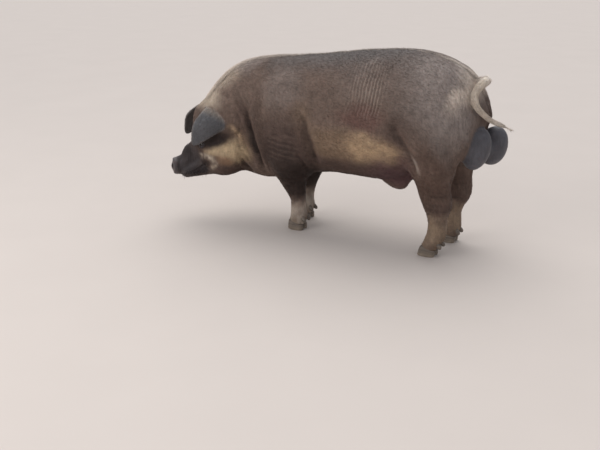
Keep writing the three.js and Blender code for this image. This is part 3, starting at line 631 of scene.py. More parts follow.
def relief(p, s):
    a = np.abs(p[:, 1])
    side, up, along = np.abs(s[:, 1]), s[:, 2], s[:, 0]
    warp = .012 * noise(p, .07, 1)
    h = .0022 * noise(p, .11, 2) + .0012 * noise(p, .045, 3) + .0005 * noise(p, .018, 4)
    h = h * fade(up, .03, .10)
    body = fade(a, .07, .12) * fade(p[:, 0], -.52, -.46)
    face = fade(along, -.78, -.84) * fade(earHeight(s), .002, .010)
    for fold in folds.values():
        h = h + foldHeight(p[:, 0] + warp * .5, p[:, 2] + warp * .5, fold) * body
    flesh = fade(side, .05, .09) * fade(earHeight(s), .004, .016)
    for fold in neckFolds.values():
        h = h + foldHeight(along + warp * .4, up, fold) * flesh
    for high, length, way, part, *zones in wrinkles.values():
        share = dict(body=body, face=face, all=1)[part]
        for x, ends in zip((along, up, side), zones):
            share = share * (band if len(ends) == 4 else fade)(x, *ends)
        h = h + high * share * ridges(np.stack([along, side, up, warp], 1) @ way, length)
    h = h + .0024 * flankShare(p, s) * body * creases(flankLines(p, s))
    # a groove down the back; at the rump the cleft under the tail root and the vent
    h = h - .0030 * np.exp(-(p[:, 1] / .022) ** 2) * fade(up, .80, .86) * fade(along, -.40, -.28)
    behind = fade(p[:, 0], .47, .50)
    h = h - .009 * behind * band(up, .50, .56, .76, .80) * np.exp(-(p[:, 1] / .014) ** 2)
    h = h - .010 * behind * np.exp(-((p[:, 1] / .016) ** 2 + ((up - .745) / .018) ** 2))
    # scrotum: cross wrinkles
    bag = np.exp(-(np.maximum(scrotumShape(p), 0) / .008) ** 2) * fade(p[:, 0], .48, .52) * fade(up, .60, .55)
    h = h + .0010 * bag * ridges(up + .25 * p[:, 1] + warp * 1.2, .021) * (.6 + .6 * noise(p, .04, 7))
    # legs: creases over the knee and hock, and the cleft between the toes
    h = h + .0016 * shank(s) * ridges(up + warp * .5, .024) * (.7 + .6 * noise(p, .06, 8))
    for leg in legs.values():
        x, y = legAxis(leg, up)
        near = (np.abs(p[:, 1] - y) < .04) & (np.abs(p[:, 0] - x) < .08)
        h = h - .011 * near * np.exp(-((p[:, 1] - y) / .0055) ** 2) * fade(up, .095, .06)
    # head: rings round the eye, the step behind the disc, lips and their corner, the disc's dish and groove
    reach = eyeFrame(mirrored(s))[3]
    h = h + .0020 * face * band(reach, .021, .026, .040, .062) * ridges(reach + warp * .15, .0095)
    step = .0045 * np.exp(-((along + 1.030) / .016) ** 2) - .0075 * np.exp(-((along + 1.066) / .012) ** 2)
    h = h + fade(up, .325, .345) * face * step
    w = nearLine(along, up, mouth["path"])[0] / mouth["width"]
    lips = fade(side, .004, .010) * fade(along, -1.095, -1.075)
    h = h + mouth["depth"] * lips * (.35 * np.exp(-(w - 2.1) ** 2) - np.exp(-w ** 2))
    corner = np.hypot(along - mouth["path"][-1][0], up - mouth["path"][-1][1])
    h = h + .0024 * face * ridges(corner, .011) * band(corner, .004, .008, .020, .045)
    fore, across, high = discPlace(s)
    out = np.hypot(across, high)
    groove = np.exp(-(across / .007) ** 2) * fade(fore, -.002, .006) * fade(out, .060, .052)
    h = h - .0022 * (fade(fore, .009, .013) * fade(out, .040, .028) + groove * fade(np.abs(high), .006, .028))
    # ears: veins and soft ridges to the tip
    for turn in (-1, 1):
        u, v, height, half, thick = earPlace(s, turn)
        leaf = np.exp(-(np.maximum(np.abs(height) - thick, 0) / .004) ** 2) * (np.abs(v) < half + .01)
        run = ridges(v * (1 + .8 * np.clip(u, 0, .1) / .1) + warp * .4, .021)
        h = h + .0006 * leaf * band(u, -.12, -.08, .09, .11) * run
    return h * fade(reach, .0145, .0195)        # the lids stay clear of the ball


def earHeight(s):
    # how far a point is from either ear's leaf
    best = np.full(len(s), .5)
    for turn in (-1, 1):
        near = (s[:, 0] < -.68) & (s[:, 1] * turn > 0) & (s[:, 2] > .28)
        best[near] = np.minimum(best[near], earShape(s[near], turn))
    return best


# markings and painted light: soft patches mixed one over another, the same on both sides; a few are painted
# shadows and highlights, noted where they stand

tones = dict(
    hide=(.156, .108, .086), back=(.088, .072, .068), red=(.125, .060, .050), gold=(.430, .298, .186),
    ochre=(.195, .130, .085), dark=(.072, .044, .036), deep=(.026, .015, .012), plum=(.115, .062, .064),
    slate=(.085, .082, .094), ear=(.128, .126, .133), earInside=(.075, .062, .056), snout=(.071, .060, .062),
    lip=(.034, .026, .028), cheek=(.600, .450, .285), rust=(.300, .180, .110), pale=(.560, .470, .400),
    straw=(.480, .395, .310), cream=(.800, .720, .640), dust=(.270, .195, .135), shin=(.480, .405, .340),
    ash=(.270, .230, .212), umber=(.106, .066, .051))
markingsAndPaintedLight = dict(                               # tone, where, size, amount, tilt and mottle
    body=[
        ("back", (-.04, 0, .95), (.46, .26, .19), .95),
        ("back", (-.42, 0, .88), (.30, .24, .14), .6),
        ("ash", (.40, .14, .77), (.22, .22, .22), .75),
        ("ash", (-.40, .22, .74), (.12, .12, .10), .30),
        ("ash", (.05, .25, .80), (.16, .12, .10), .15),
        ("red", (.055, .27, .655), (.13, .1, .065), .75),
        # painted shade along the flank fold in front of the thigh
        ("dark", (.225, .22, .60), (.080, .12, .12), .55, -55),
        ("ochre", (-.06, .26, .50), (.27, .14, .10), .85),
        ("ochre", (-.27, .24, .60), (.07, .10, .10), .45),
        ("gold", (.090, .26, .512), (.132, .14, .078), 1, 3, .6),
        ("gold", (.165, .23, .480), (.09, .12, .060), .5, 30, .5),
        ("dark", (-.05, .15, .375), (.30, .16, .075), .8),
        ("plum", (.17, .08, .36), (.15, .18, .115), 1),
        ("plum", (.26, .18, .45), (.06, .10, .07), .7),
        ("dark", (-.375, .22, .44), (.17, .14, .20), 1),
        ("deep", (-.40, .20, .42), (.13, .14, .10), .45),
        # painted shade along the shoulder fold
        ("dark", (-.240, .22, .46), (.06, .12, .14), .5, 15),
        ("deep", (-.350, .13, .320), (.15, .14, .135), 1),
        ("deep", (-.37, .11, .235), (.09, .10, .075), .85),
        ("shin", (-.365, .10, .068), (.10, .09, .092), 1, 0, .55),
        ("umber", (.38, .20, .44), (.16, .16, .18), .85),
        ("ash", (.45, .18, .62), (.08, .14, .14), .45),
        ("umber", (.39, .14, .33), (.13, .13, .13), .75),
        ("dust", (.385, .13, .135), (.10, .09, .100), 1, 0, .3),
        ("dark", (.405, .14, .250), (.08, .10, .022), .6),
        # painted highlight where light catches the hair at the tail root
        ("pale", (.48, .04, .81), (.08, .08, .08), .75),
        # painted highlight on the back of the ham
        ("pale", (.470, .15, .760), (.055, .09, .092), 1, -30, .1),
        # painted highlight: a thin streak of light catching the hair along the rump's topline
        ("cream", (.43, 0, .885), (.085, .020, .06), .8, -30),
        # painted shadow that the tail casts on the back of the rump below its root
        ("dark", (.52, .0, .67), (.08, .075, .10), .85)],
    head=[                                      # these along the straight spine
        ("dark", (-.60, .19, .50), (.11, .14, .22), .45),
        ("dark", (-.90, 0, .42), (.22, .22, .22), .7),
        ("ochre", (-.75, .16, .43), (.10, .12, .12), .8),
        ("dark", (-.72, .17, .57), (.07, .12, .11), .65, 20),
        ("cheek", (-.795, .16, .405), (.130, .10, .062), 1, -4, .4),
        ("cheek", (-.885, .14, .392), (.060, .08, .032), .8, -10, .3),
        ("rust", (-.850, .16, .352), (.045, .08, .030), .75),
        ("gold", (-.773, .15, .497), (.060, .08, .018), .6, -45),
        ("dark", (-.80, .12, .285), (.13, .14, .055), .9),
        ("snout", (-1.03, 0, .33), (.105, .13, .12), 1),
        ("deep", (-1.03, .02, .375), (.06, .06, .045), .7, -35),
        # painted shadow that the ear casts on the face below it, over the eye
        ("deep", (-.912, .12, .459), (.104, .09, .035), 1, 25),
        ("lip", (-.970, .06, .285), (.070, .07, .030), 1, 12),
        ("straw", (-.900, 0, .64), (.085, .11, .080), .8),
        ("straw", (-.800, 0, .77), (.11, .10, .080), .6, 30),
        ("ash", (-.70, .0, .84), (.12, .16, .07), .5),
        # painted shade in the crease between jowl and neck
        ("deep", (-.63, .18, .46), (.030, .10, .16), .8, 25)])


def patchShare(p, place, size, amount, tilt=0, mottle=0):
    # 1 inside an ellipsoid, falling to 0 a little outside it, broken up by noise where it is mottled
    q = p - np.array(place)
    x, z = turnPlane(q[:, 0], q[:, 2], tilt)
    r = np.linalg.norm(np.stack([x, q[:, 1], z], 1) / np.array(size), axis=1)
    spots = mottle * (.5 + .9 * noise(p, .026, 31)).clip(0, 1) if mottle else 0
    return amount * fade(r, 1.32, .42) * (1 - spots)


def mixTone(tone, name, share):
    return tone + (np.array(tones[name]) - tone) * np.clip(share, 0, 1)[:, None]


def paint(p, s):
    # colour of skin and coat at a place, and how bare the skin is there
    tone, bare = np.tile(np.array(tones["hide"]), (len(p), 1)), np.zeros(len(p))

    def lay(name, share):
        tone[:] = mixTone(tone, name, share)

    def strip(share):
        bare[:] = np.maximum(bare, share)
    drift = np.stack([noise(p, .085, k) for k in (11, 12, 13)], 1) * .020
    drift = drift + np.stack([noise(p, .028, k) for k in (14, 15, 16)], 1) * .009
    body, spine = mirrored(p + drift), mirrored(s + drift)
    along, side, up = s[:, 0], np.abs(s[:, 1]), p[:, 2]
    for name, *patch in markingsAndPaintedLight["body"]:
        lay(name, patchShare(body, *patch) * fade(along, -.62, -.52))
    for name, *patch in markingsAndPaintedLight["head"]:
        lay(name, patchShare(spine, *patch))
    lay("dust", .55 * fade(up, .09, .04) * fade(noise(p, .02, 20), -.2, .4))
    fore, across, high = discPlace(s)
    front = fade(fore, -.016, -.002) * fade(np.hypot(across, high), .062, .050)
    lay("snout", front)
    strip(front)
    lay("plum", front * fade(noise(p, .009, 21), 0, .5) * .4)
    for turn in (-1, 1):
        u, v, rise, half, thick = earPlace(s, turn)
        leaf = fade(earShape(s, turn), .006, .001) * fade(u, -.115, -.075)
        lay("ear", leaf)
        lay("earInside", leaf * fade(rise, 0, -.004) * .8)
        lay("ash", leaf * .5 * fade(np.abs(v) - half, -.012, 0))
        lay("straw", leaf * .5 * fade(u, -.05, -.10) * fade(rise, -.002, .003))
    bag = fade(scrotumShape(p), .012, .002) * fade(p[:, 0], .46, .50)
    lay("slate", bag)
    strip(.8 * bag)
    away, share, way = tailPlace(p)
    onTail = fade(away, .010, .003) * fade(p[:, 0], .49, .53) * fade(share, .05, .16)
    lay("cream", onTail)
    lay("straw", onTail * .55 * band(share, .22, .34, .66, .80))
    # the mouth, with a pale crescent behind its corner, then the lids and the nostrils
    lips = fade(nearLine(along, up, mouth["path"])[0], .011, .004)
    lips = lips * fade(side, .004, .010) * fade(along, -.90, -.92)
    lay("lip", .8 * lips)
    corner = np.hypot(along - mouth["path"][-1][0], up - mouth["path"][-1][1] - .006)
    outer = fade(side, .05, .08)
    crescent = fade(along + .5 * (up - .34), -.965, -.935) * outer * fade(np.abs(corner - .040), .022, .002)
    crescent = crescent * fade(along, -.85, -.90) * (.35 + .65 * fade(up, .300, .335))
    lay("straw", .95 * crescent * (.65 + .8 * noise(p, .014, 32)).clip(0, 1.2))
    # painted shade in the corner of the mouth
    lay("deep", .8 * fade(corner, .026, .010) * outer)
    reach = eyeFrame(mirrored(s))[3]
    lids = fade(reach, .026, .018)
    lay("lip", lids)
    strip(np.maximum(lids, .7 * lips))
    # painted shade in the gap between the lids and the ball
    lay("deep", fade(reach, .0145, .0125))
    holes = np.hypot(np.abs(across) - nostril["side"], high - nostril["up"])
    holes = np.hypot(holes, fore - nostril["front"] + .010)
    # painted shade inside the nostrils
    lay("deep", fade(holes, .012, .009))
    # painted shade: the folds and creases are darkened where shade falls in them; painted highlight: some
    # wrinkle ridges are lightened where light catches them
    for fold in folds.values():
        d, share = nearLine(body[:, 0], up, fold["path"])
        where = fade(np.abs(p[:, 1]), .08, .12) * fade(p[:, 0], -.52, -.46)
        lay("deep", 50 * fold["depth"] * fade(d, .022, .004) * band(share, 0, .2, .8, 1) * where)
    # painted highlight on the ridges of the upper arm's wrinkles, in hide tone over the darker arm
    arm = band(along, -.50, -.44, -.32, -.26) * band(up, .38, .42, .50, .56)
    lay("hide", .28 * arm * fade(ridges(up + along * .12 + .0084 * noise(p, .07, 1), .026), .0, .34))
    # painted shade in the folds of jowl, throat, ear root and snout
    for fold in neckFolds.values():
        d, share = nearLine(spine[:, 0], up, fold["path"])
        strength = .75 if fold["depth"] > .01 else .35
        where = fade(side, .06, .10) * fade(earHeight(s), .002, .014)
        lay("deep", strength * fade(d, .024, .004) * band(share, 0, .2, .8, 1) * where)
    d, share = nearLine(body[:, 0], up, thighEdge)
    edge = fade(d, .014, .002) * band(share, 0, .3, .5, 1) * fade(np.abs(p[:, 1]), .12, .16)
    lay("pale", .30 * edge * (1 + .5 * noise(p, .02, 33)))
    # flank creases: painted highlight on their raised lines, painted shade between them
    flank, crease = flankShare(p, s), creases(flankLines(p, s))
    lay("pale", .21 * flank * fade(crease, -.1, .6))
    lay("dark", .24 * flank * fade(crease, -.12, -.24))
    # painted shade in the valleys between the shank's creases
    lay("deep", .35 * shank(s) * fade(ridges(up + .006 * noise(p, .07, 1), .024), -.25, -.60))
    shade = 1 + .13 * noise(p, .16, 23) + .10 * noise(p, .035, 24) + .06 * noise(p * (1, 1, .35), .012, 25)
    return tone * shade[:, None], bare


# meshes

def makeMesh(name, points, faces, nodes=(), normals=None):
    # a mesh object from arrays, in the model's own place, on the one body
    points = np.asarray(points, float) + toModel
    mesh = bpy.data.meshes.new(name)
    mesh.vertices.add(len(points))
    mesh.vertices.foreach_set("co", points.astype(np.float32).ravel())
    mesh.loops.add(faces.size)
    mesh.loops.foreach_set("vertex_index", faces.astype(np.int32).ravel())
    mesh.polygons.add(len(faces))
    mesh.polygons.foreach_set("loop_start", np.arange(0, faces.size, 3, dtype=np.int32))
    mesh.polygons.foreach_set("use_smooth", np.ones(len(faces), bool))
    mesh.update(calc_edges=True)
    mesh.validate()
    if normals is not None:
        mesh.normals_split_custom_set_from_vertices(normals.astype(np.float32))
    piece = bpy.data.objects.new(name, mesh)
    bpy.context.scene.collection.objects.link(piece)
    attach(piece, "root")
    if nodes:
        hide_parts(*nodes)
    return piece


def giveColour(piece, name, colours):
    layer = piece.data.attributes.new(name, "FLOAT_COLOR", "POINT")
    rgba = np.ones((len(colours), 4), np.float32)
    rgba[:, :3] = np.clip(colours, 0, 1)
    layer.data.foreach_set("color", rgba.ravel())


def giveValue(piece, name, values):
    layer = piece.data.attributes.new(name, "FLOAT", "POINT")
    layer.data.foreach_set("value", np.asarray(values, np.float32))


eyes = {side: bend(np.array(eye["centre"]) * (1, turn, 1)) for side, turn in (("left", -1), ("right", 1))}
eyeLow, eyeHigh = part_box("eye_left")
toModel = np.array((eyeLow + eyeHigh) / 2) - eyes["left"]


# skin

fineAreas = [                                   # level, lowest, highest corner: each level halves the cells
    (1, (-1.13, -.44, .19), (-.62, .16, .80)), (1, (.44, -.15, .57), (.70, .05, .86)),
    (1, (.47, -.14, .42), (.66, .14, .57)), (1, (-.48, -.17, 0), (-.30, .17, .26)),
    (1, (.29, -.20, 0), (.48, .20, .26)),
    (2, (-1.06, -.39, .215), (-.88, -.19, .37)), (2, (-1.02, -.42, .37), (-.77, -.10, .50)),
    (2, (-.99, -.44, .49), (-.74, -.24, .66)), (2, (-1.08, -.12, .37), (-.88, .10, .66)),
    (2, (-.44, -.15, .028), (-.33, .16, .10)), (2, (.31, -.18, .028), (.44, .18, .10)),
    (2, (.56, -.14, .60), (.69, .02, .72))]
for level, low, high in (                       # and these on both sides
        (1, (-.46, .12, .36), (-.31, .30, .50)), (1, (-.31, .12, .36), (-.15, .34, .64)),
        (1, (.16, .12, .40), (.37, .32, .66)), (1, (-.06, .06, .60), (.20, .32, .93)),
        (2, (-.030, .12, .67), (.150, .31, .88))):
    fineAreas += [(level, low, high), (level, (low[0], -high[1], low[2]), (high[0], -low[1], high[2]))]
fineAreas += [(3, place - .028, place + .028) for place in eyes.values()]

points, quads, cellSize = surfaceNet(skinField, (-1.2, -.62, -.06), (.76, .40, 1.02), .014, fineAreas)
points, normals = settle(skinField, points, cellSize)
triangles = trianglesOf(points, quads)
straight = straighten(points)
height = relief(points, straight)
skinTone, skinBare = paint(points, straight)
skinPoints = points + normals * height[:, None]
fleshNodes = [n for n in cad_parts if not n.startswith(("eye_", "hoof_", "dewclaw_"))]
skin = makeMesh("skin", skinPoints, triangles, fleshNodes)
giveColour(skin, "tone", skinTone)
giveValue(skin, "bare", skinBare)
print("skin", len(triangles), "triangles")


# claws, dewclaws and eyes

claw = dict(length=.084, width=.039, spread=.0035, height=.046, around=30, tuck=.003)
dewclaw = dict(height=.062, back=.038, out=.021, radius=.0105, around=16)


def loftFaces(rows, around):
    # rings joined by pairs of triangles, closed by a fan to a middle point at each end (the last two points)
    j = np.arange(around)
    following, last = (j + 1) % around, (rows - 1) * around
    ring = np.arange(rows - 1)[:, None] * around
    a, b = ring + j, ring + following
    sides = np.concatenate([np.stack([a, b, b + around], -1), np.stack([a, b + around, a + around], -1)])
    start = np.stack([j * 0 + rows * around, following, j], 1)
    end = np.stack([j * 0 + rows * around + 1, last + j, last + following], 1)
    return np.concatenate([sides.reshape(-1, 3), start, end])


def closedLoft(rings):
    rows, around = rings.shape[:2]
    points = np.concatenate([rings.reshape(-1, 3), rings[:1].mean(1), rings[-1:].mean(1)])
    return points, loftFaces(rows, around)


def joined(shapes):
    # several (points, faces) as one
    points, faces = zip(*shapes)
    starts = np.cumsum([0] + [len(p) for p in points[:-1]])
    return np.concatenate(points), np.concatenate([f + k for f, k in zip(faces, starts)])


def clawShape(leg, outward):
    # a rounded wedge on a flat sole: an oval whose toe end is narrower, carried up to the coronet's plane
    turn = np.linspace(0, 2 * np.pi, claw["around"], endpoint=False)
    c, s = np.cos(turn), np.sin(turn)
    share = np.array([0, 0, .02, .06, .12, .2, .29, .38, .47, .56, .65, .74, .83, .92, 1])[:, None]
    inset = np.array([.55, .14, .05, .01] + [0] * 9 + [.03, .10])[:, None]
    ceiling = coronet["height"] + claw["tuck"] - coronet["slope"] * (claw["length"] / 2 * c)
    z = share * ceiling
    x, y = legAxis(leg, z)
    rise = z / (claw["height"] + .012)
    rings = 1 + .010 * np.sin(z / .0034) * (share > .1) * (share < .9)
    half = claw["length"] / 2 * (1 - .04 * rise - inset) * rings
    width = claw["width"] / 2 * (1.03 - .06 * rise)
    pointed = 1 - .26 * np.maximum(-c, 0) ** 2
    toe = -claw["spread"] * np.minimum(c, 0)
    across = width * (1 - inset) * rings * np.sign(s) * np.abs(s) ** .8 * pointed
    return closedLoft(np.stack([x + half * c, y + outward * (width + .0012 + toe) + across, z + 0 * c], -1))


def dewclawShape(leg, outward):
    # a short blunt horn: round rings along a slightly hooked line behind the pastern
    x, y = [float(v) for v in legAxis(leg, np.array(dewclaw["height"]))]
    root = np.array([x + dewclaw["back"], y + outward * dewclaw["out"], dewclaw["height"]])
    start, end = root + (-.014, -.003 * outward, .014), root + (.016, .004 * outward, -.012)
    t = np.array([0, .2, .4, .55, .7, .82, .91, .97, 1])[:, None, None]
    radius = dewclaw["radius"] * np.array([.95, .97, .98, .98, .94, .84, .66, .42, .18])[:, None, None]
    ahead = unit(end - start)
    up = np.cross((0, 1, 0), ahead)
    turn = np.linspace(0, 2 * np.pi, dewclaw["around"], endpoint=False)[None, :, None]
    line = start + (end - start) * t - np.array([0, 0, .003]) * t ** 2
    return closedLoft(line + radius * (np.cos(turn) * np.array([0, 1, 0]) + 1.1 * np.sin(turn) * up))


claws = []
for name, leg in legs.items():
    turn = leg["side"]
    ends = dict(outer=turn, inner=-turn)
    for piece, node, shape in (("claws", "hoof", clawShape), ("dewclaws", "dewclaw", dewclawShape)):
        points, faces = joined([shape(leg, ends[k]) for k in ends])
        claws.append(makeMesh(f"{piece}_{name}", points, faces, [f"{node}_{name}_{k}" for k in ends]))

eyeRings = dict(pupil=.30, iris=.74, edge=.82, dome=.66, white=(.26, .19, .16), brown=(.050, .022, .011),
                black=(.006, .004, .004), around=48)
eyeballs = []
for side, place in eyes.items():
    # a ball of rings round its outward axis, with the cornea's low dome over pupil and iris
    r, turn = eyeRings, -1 if side == "left" else 1
    out = unit(bendDirection(unit(np.array(eye["out"]) * (1, turn, 1)), eye["centre"][0]))
    across = unit(np.cross(out, (0, 0, 1)))
    angle = np.concatenate([np.linspace(.02, .75, 22), np.linspace(.85, 3.12, 22)])[:, None]
    spin = np.linspace(0, 2 * np.pi, r["around"], endpoint=False)[None, :]
    radius = eye["radius"] + .0010 * np.exp(-(angle / r["dome"]) ** 4)
    spoke = np.cos(spin)[..., None] * across + np.sin(spin)[..., None] * np.cross(out, across)
    rings = place + (radius * np.cos(angle))[..., None] * out + (radius * np.sin(angle))[..., None] * spoke
    points, faces = closedLoft(rings)
    eyeball = makeMesh("eyeball_" + side, points, faces, ["eye_" + side])
    away = np.append(np.repeat(angle[:, 0], r["around"]), [0, 3.1])
    iris = np.array(r["brown"]) * (.75 + .5 * noise(points, .0016, 30))[:, None]
    tone = np.where((away < r["edge"])[:, None], iris, np.array(r["white"]))
    tone = tone + (np.array(r["black"]) - tone) * fade(away, r["pupil"] + .05, r["pupil"])[:, None]
    rim = band(away, r["iris"] - .08, r["iris"], r["edge"], r["edge"] + .12)
    giveColour(eyeball, "tone", tone * (1 - .8 * rim)[:, None])
    eyeballs.append(eyeball)
print("claws and eyes")


# coat: flat three-sided tufts that lie over each other along the body

coats = dict(                                   # how many, how long, how wide, how far the tip stands off
    coat_trunk_left=dict(count=19800, length=.0160, width=.00115, lift=.0011, slot="hide"),
    coat_trunk_right=dict(count=19800, length=.0160, width=.00115, lift=.0011, slot="hide"),
    coat_neck=dict(count=17000, length=.0180, width=.00120, lift=.0014, slot="hide"),
    coat_head=dict(count=17000, length=.0085, width=.00080, lift=.0008, slot="face"),
    coat_ears=dict(count=9000, length=.0080, width=.00080, lift=.0008, slot="ear"),
    coat_legs=dict(count=18500, length=.0110, width=.00100, lift=.0010, slot="leg"),
    coat_tail=dict(count=3500, length=.0130, width=.00100, lift=.0010, slot="tail"),
    coat_crest=dict(count=5200, length=.0300, width=.00125, lift=.0080, slot="hide"))
lashes = dict(perLid=26, length=.012, width=.0006, tone="deep")
whiskers = dict(count=60, length=.021, width=.00055, tone="ash")
random = np.random.default_rng(41)

# faces of one tuft: base, underside, right, left; its points: root left, right, top, middle the same, tip
tuftFaces = np.array([(0, 2, 1), (0, 1, 4), (0, 4, 3), (1, 2, 5), (1, 5, 4), (2, 0, 3), (2, 3, 5),
                      (3, 4, 6), (4, 5, 6), (5, 3, 6)])
tuftMap = np.array([                            # the same faces laid out side by side on a unit patch
    [(0, .2), (.5, 0), (1, .2)], [(0, .2), (.33, .2), (.33, .6)], [(0, .2), (.33, .6), (0, .6)],
    [(.33, .2), (.67, .2), (.67, .6)], [(.33, .2), (.67, .6), (.33, .6)],
    [(.67, .2), (1, .2), (1, .6)], [(.67, .2), (1, .6), (.67, .6)],
    [(0, .6), (.33, .6), (.17, 1)], [(.33, .6), (.67, .6), (.5, 1)], [(.67, .6), (1, .6), (.83, 1)]])


def chart(label, p, s):
    # the skin laid flat: along the body across the map, round it up the map, ears and legs in quarters
    def flat(*uv):
        return np.stack(uv, 1)

    def share(y, x):                            # angle as a share of a turn
        return np.arctan2(y, x) / (2 * np.pi) + .5
    if label == "coat_legs":
        x, y = [np.stack(k) for k in zip(*[legAxis(leg, p[:, 2]) for leg in legs.values()])]
        pick = np.hypot(p[:, 0] - x, p[:, 1] - y).argmin(0)
        x, y = np.choose(pick, x), np.choose(pick, y)
        rise = np.clip(p[:, 2] / .42, 0, 1)
        return flat((share(p[:, 1] - y, p[:, 0] - x) + pick % 2) / 2, (rise + pick // 2) / 2)
    if label == "coat_ears":
        right = s[:, 1] > 0
        u, v, rise = np.where(right, earPlace(s, 1)[:3], earPlace(s, -1)[:3])
        return flat(((u + .13) / .25 + right) / 2, (np.clip((v + .085) / .17, 0, 1) + (rise > 0)) / 2)
    if label == "coat_tail":
        away, along, way = tailPlace(p)
        stops = np.linspace(0, 1, len(tailLine))
        q = p - flat(*[np.interp(along, stops, tailLine[:, k]) for k in range(3)])
        return flat(along, share(q[:, 2], q[:, 1] * np.sign(way[:, 0] + .01)))
    if label in ("coat_head", "coat_neck"):
        low, high = (-1.12, -.76) if label == "coat_head" else (-.84, -.46)
        middle = np.interp(s[:, 0], [-1.1, -.9, -.8, -.5], [.30, .43, .50, .57])
        return flat((s[:, 0] - low) / (high - low), share(s[:, 1], s[:, 2] - middle))
    if label == "coat_crest":
        return flat((s[:, 0] + .96) / 1.5, s[:, 1] / .16 + .5)
    return flat((s[:, 0] + .54) / 1.24, np.arctan2(np.abs(p[:, 1]), p[:, 2] - .61) / np.pi)


def lie(label, p, s):
    # which way the hair points: back and down on the body, down the legs, to the tip of ear and tail
    d = np.zeros((len(p), 3))
    if label == "coat_tail":
        return tailPlace(p)[2]
    if label == "coat_legs":
        d[:] = (.16, 0, -1)
        d[:, 0] += .9 * fade(p[:, 2], .25, .38)
        return d
    if label == "coat_ears":
        for turn in (-1, 1):
            mine = s[:, 1] * turn > 0
            u, v = earPlace(s[mine], turn)[:2]
            d[mine] = (earDown + 4 * v[:, None] * earFront * fade(u, .02, -.08)[:, None]) * (1, turn, 1)
        return bendDirection(d, s[:, 0])
    d[:, 0] = 1
    if label == "coat_head":
        d[:, 2] = .45 * (fade(s[:, 2], .40, .50) - fade(s[:, 2], .40, .28)) + .2 * fade(s[:, 0], -.95, -1.05)
    elif label != "coat_crest":
        d[:, 2] = -.38 * fade(s[:, 2], .36, .60)
        d[:, 1] = .35 * np.sign(s[:, 1]) * fade(s[:, 2], .80, .90)
        rump = fade(s[:, 0], .38, .52)
        d[:, 0] -= .6 * rump
        d[:, 2] -= .7 * rump
    return bendDirection(d, s[:, 0])


tuft = dict(sway=.35, scatter=.13, stray=.10, middle=.45, middleGap=.0008, tipGap=.0010, sink=.001,
            ridge=.0003, rootWidth=.35, thick=.4, roll=.4, lean=.15, patch=.003)


def growTufts(root, normal, way, length, width, lift, tone, height):
    # each tuft follows the skin: its middle and tip are moved along the normal to their height over the field
    way = unit(way - normal * (way * normal).sum(1, keepdims=True))
    side = np.cross(normal, way)
    drift = tuft["sway"] * noise(root, .06, 40) + tuft["scatter"] * random.standard_normal(len(root))
    way = unit(way + side * drift[:, None])
    side = np.cross(normal, way)
    stray = side * (length * tuft["stray"] * random.standard_normal(len(root)))[:, None]
    middle = root + way * (tuft["middle"] * length)[:, None]
    tip = root + way * length[:, None] + stray
    for place, stand in ((middle, tuft["middleGap"] + .5 * lift), (tip, tuft["tipGap"] + lift)):
        off = np.clip(skinField(place) - height - stand, -.5 * length, .5 * length)
        place -= normal * off[:, None]
    w = side * width[:, None]
    under, over = root - normal * tuft["sink"], root + normal * tuft["ridge"]
    top = middle + normal * width[:, None] * tuft["thick"]
    corners = np.stack([under - w * tuft["rootWidth"], under + w * tuft["rootWidth"], over,
                        middle - w * .5, middle + w * .5, top, tip], 1)
    bright = (1.04 + .13 * random.standard_normal(len(root))).clip(.6, 1.6)[:, None, None]
    colour = tone[:, None, :] * bright * np.array([.88, .88, .90, 1, 1, 1.03, 1.14])[None, :, None]
    # hair lit like the skin it lies on, a little rounded from side to side
    roll = tuft["roll"] * np.array([-1, 1, 0, -1, 1, 0, 0])[None, :, None]
    lit = unit(normal[:, None] + side[:, None] * roll + tuft["lean"] * way[:, None])
    return corners.reshape(-1, 3), colour.reshape(-1, 3), lit.reshape(-1, 3)


def singleHairs(base, away, kind):
    # lashes and whiskers: the same seven points, straight and sinking a little
    flat = unit(np.cross(away, (0, 0, 1)))
    n, w = np.cross(flat, away), kind["width"]
    reach = kind["length"] * (.7 + .5 * random.random((len(base), 1)))
    mid = base + away * reach * .5
    tip = base + away * reach - np.array([0, 0, .1]) * reach
    corners = [place + go * size for place, size in ((base, w), (mid, w * .7)) for go in (-flat, flat, n)]
    corners = np.stack(corners + [tip], 1)
    return corners.reshape(-1, 3), np.tile(tones[kind["tone"]], (7 * len(base), 1)), np.repeat(n, 7, 0)


def lidHairs(turn):
    # roots and directions of the lashes along one upper lid
    out = unit(eye["out"])
    slit = unit(np.array(eye["slit"]) - out * np.dot(eye["slit"], out))
    t = np.linspace(-.9, .9, lashes["perLid"])[:, None]
    across = np.cross(out, slit)
    across = across * np.sign(across[2])
    base = eye["centre"] + slit * t * eye["halfLength"] + out * (.0158 - .003 * t ** 2)
    base = base + across * (eye["halfHeight"] * (1 - t ** 2) + .0004)
    away = unit(out + across * .55 + slit * t * .8)
    return bend(base * (1, turn, 1)), bendDirection(away * (1, turn, 1), base[:, 0])


def chinHairs():
    # roots scattered in a box round the chin and lips, moved onto the skin along its slope
    chin = bend(random.random((whiskers["count"], 3)) * (.14, .11, .05) + (-1.07, -.055, .245))
    d = skinField(chin)
    slope = unit(np.stack([skinField(chin + np.eye(3)[k] * 1e-3) - d for k in range(3)], 1) / 1e-3)
    return chin - slope * d[:, None], unit(slope * .8 + (.3, .2, -.5))


def giveTuftMap(piece, spots):
    # every tuft is one small patch of the map, at its root's place
    spots = np.clip(spots, .003, .997)
    corner = spots[:, None, None, :] + (tuftMap[None] - .5) * tuft["patch"]
    layer = piece.data.uv_layers.new(name="OFBake")
    layer.data.foreach_set("uv", corner.astype(np.float32).ravel())


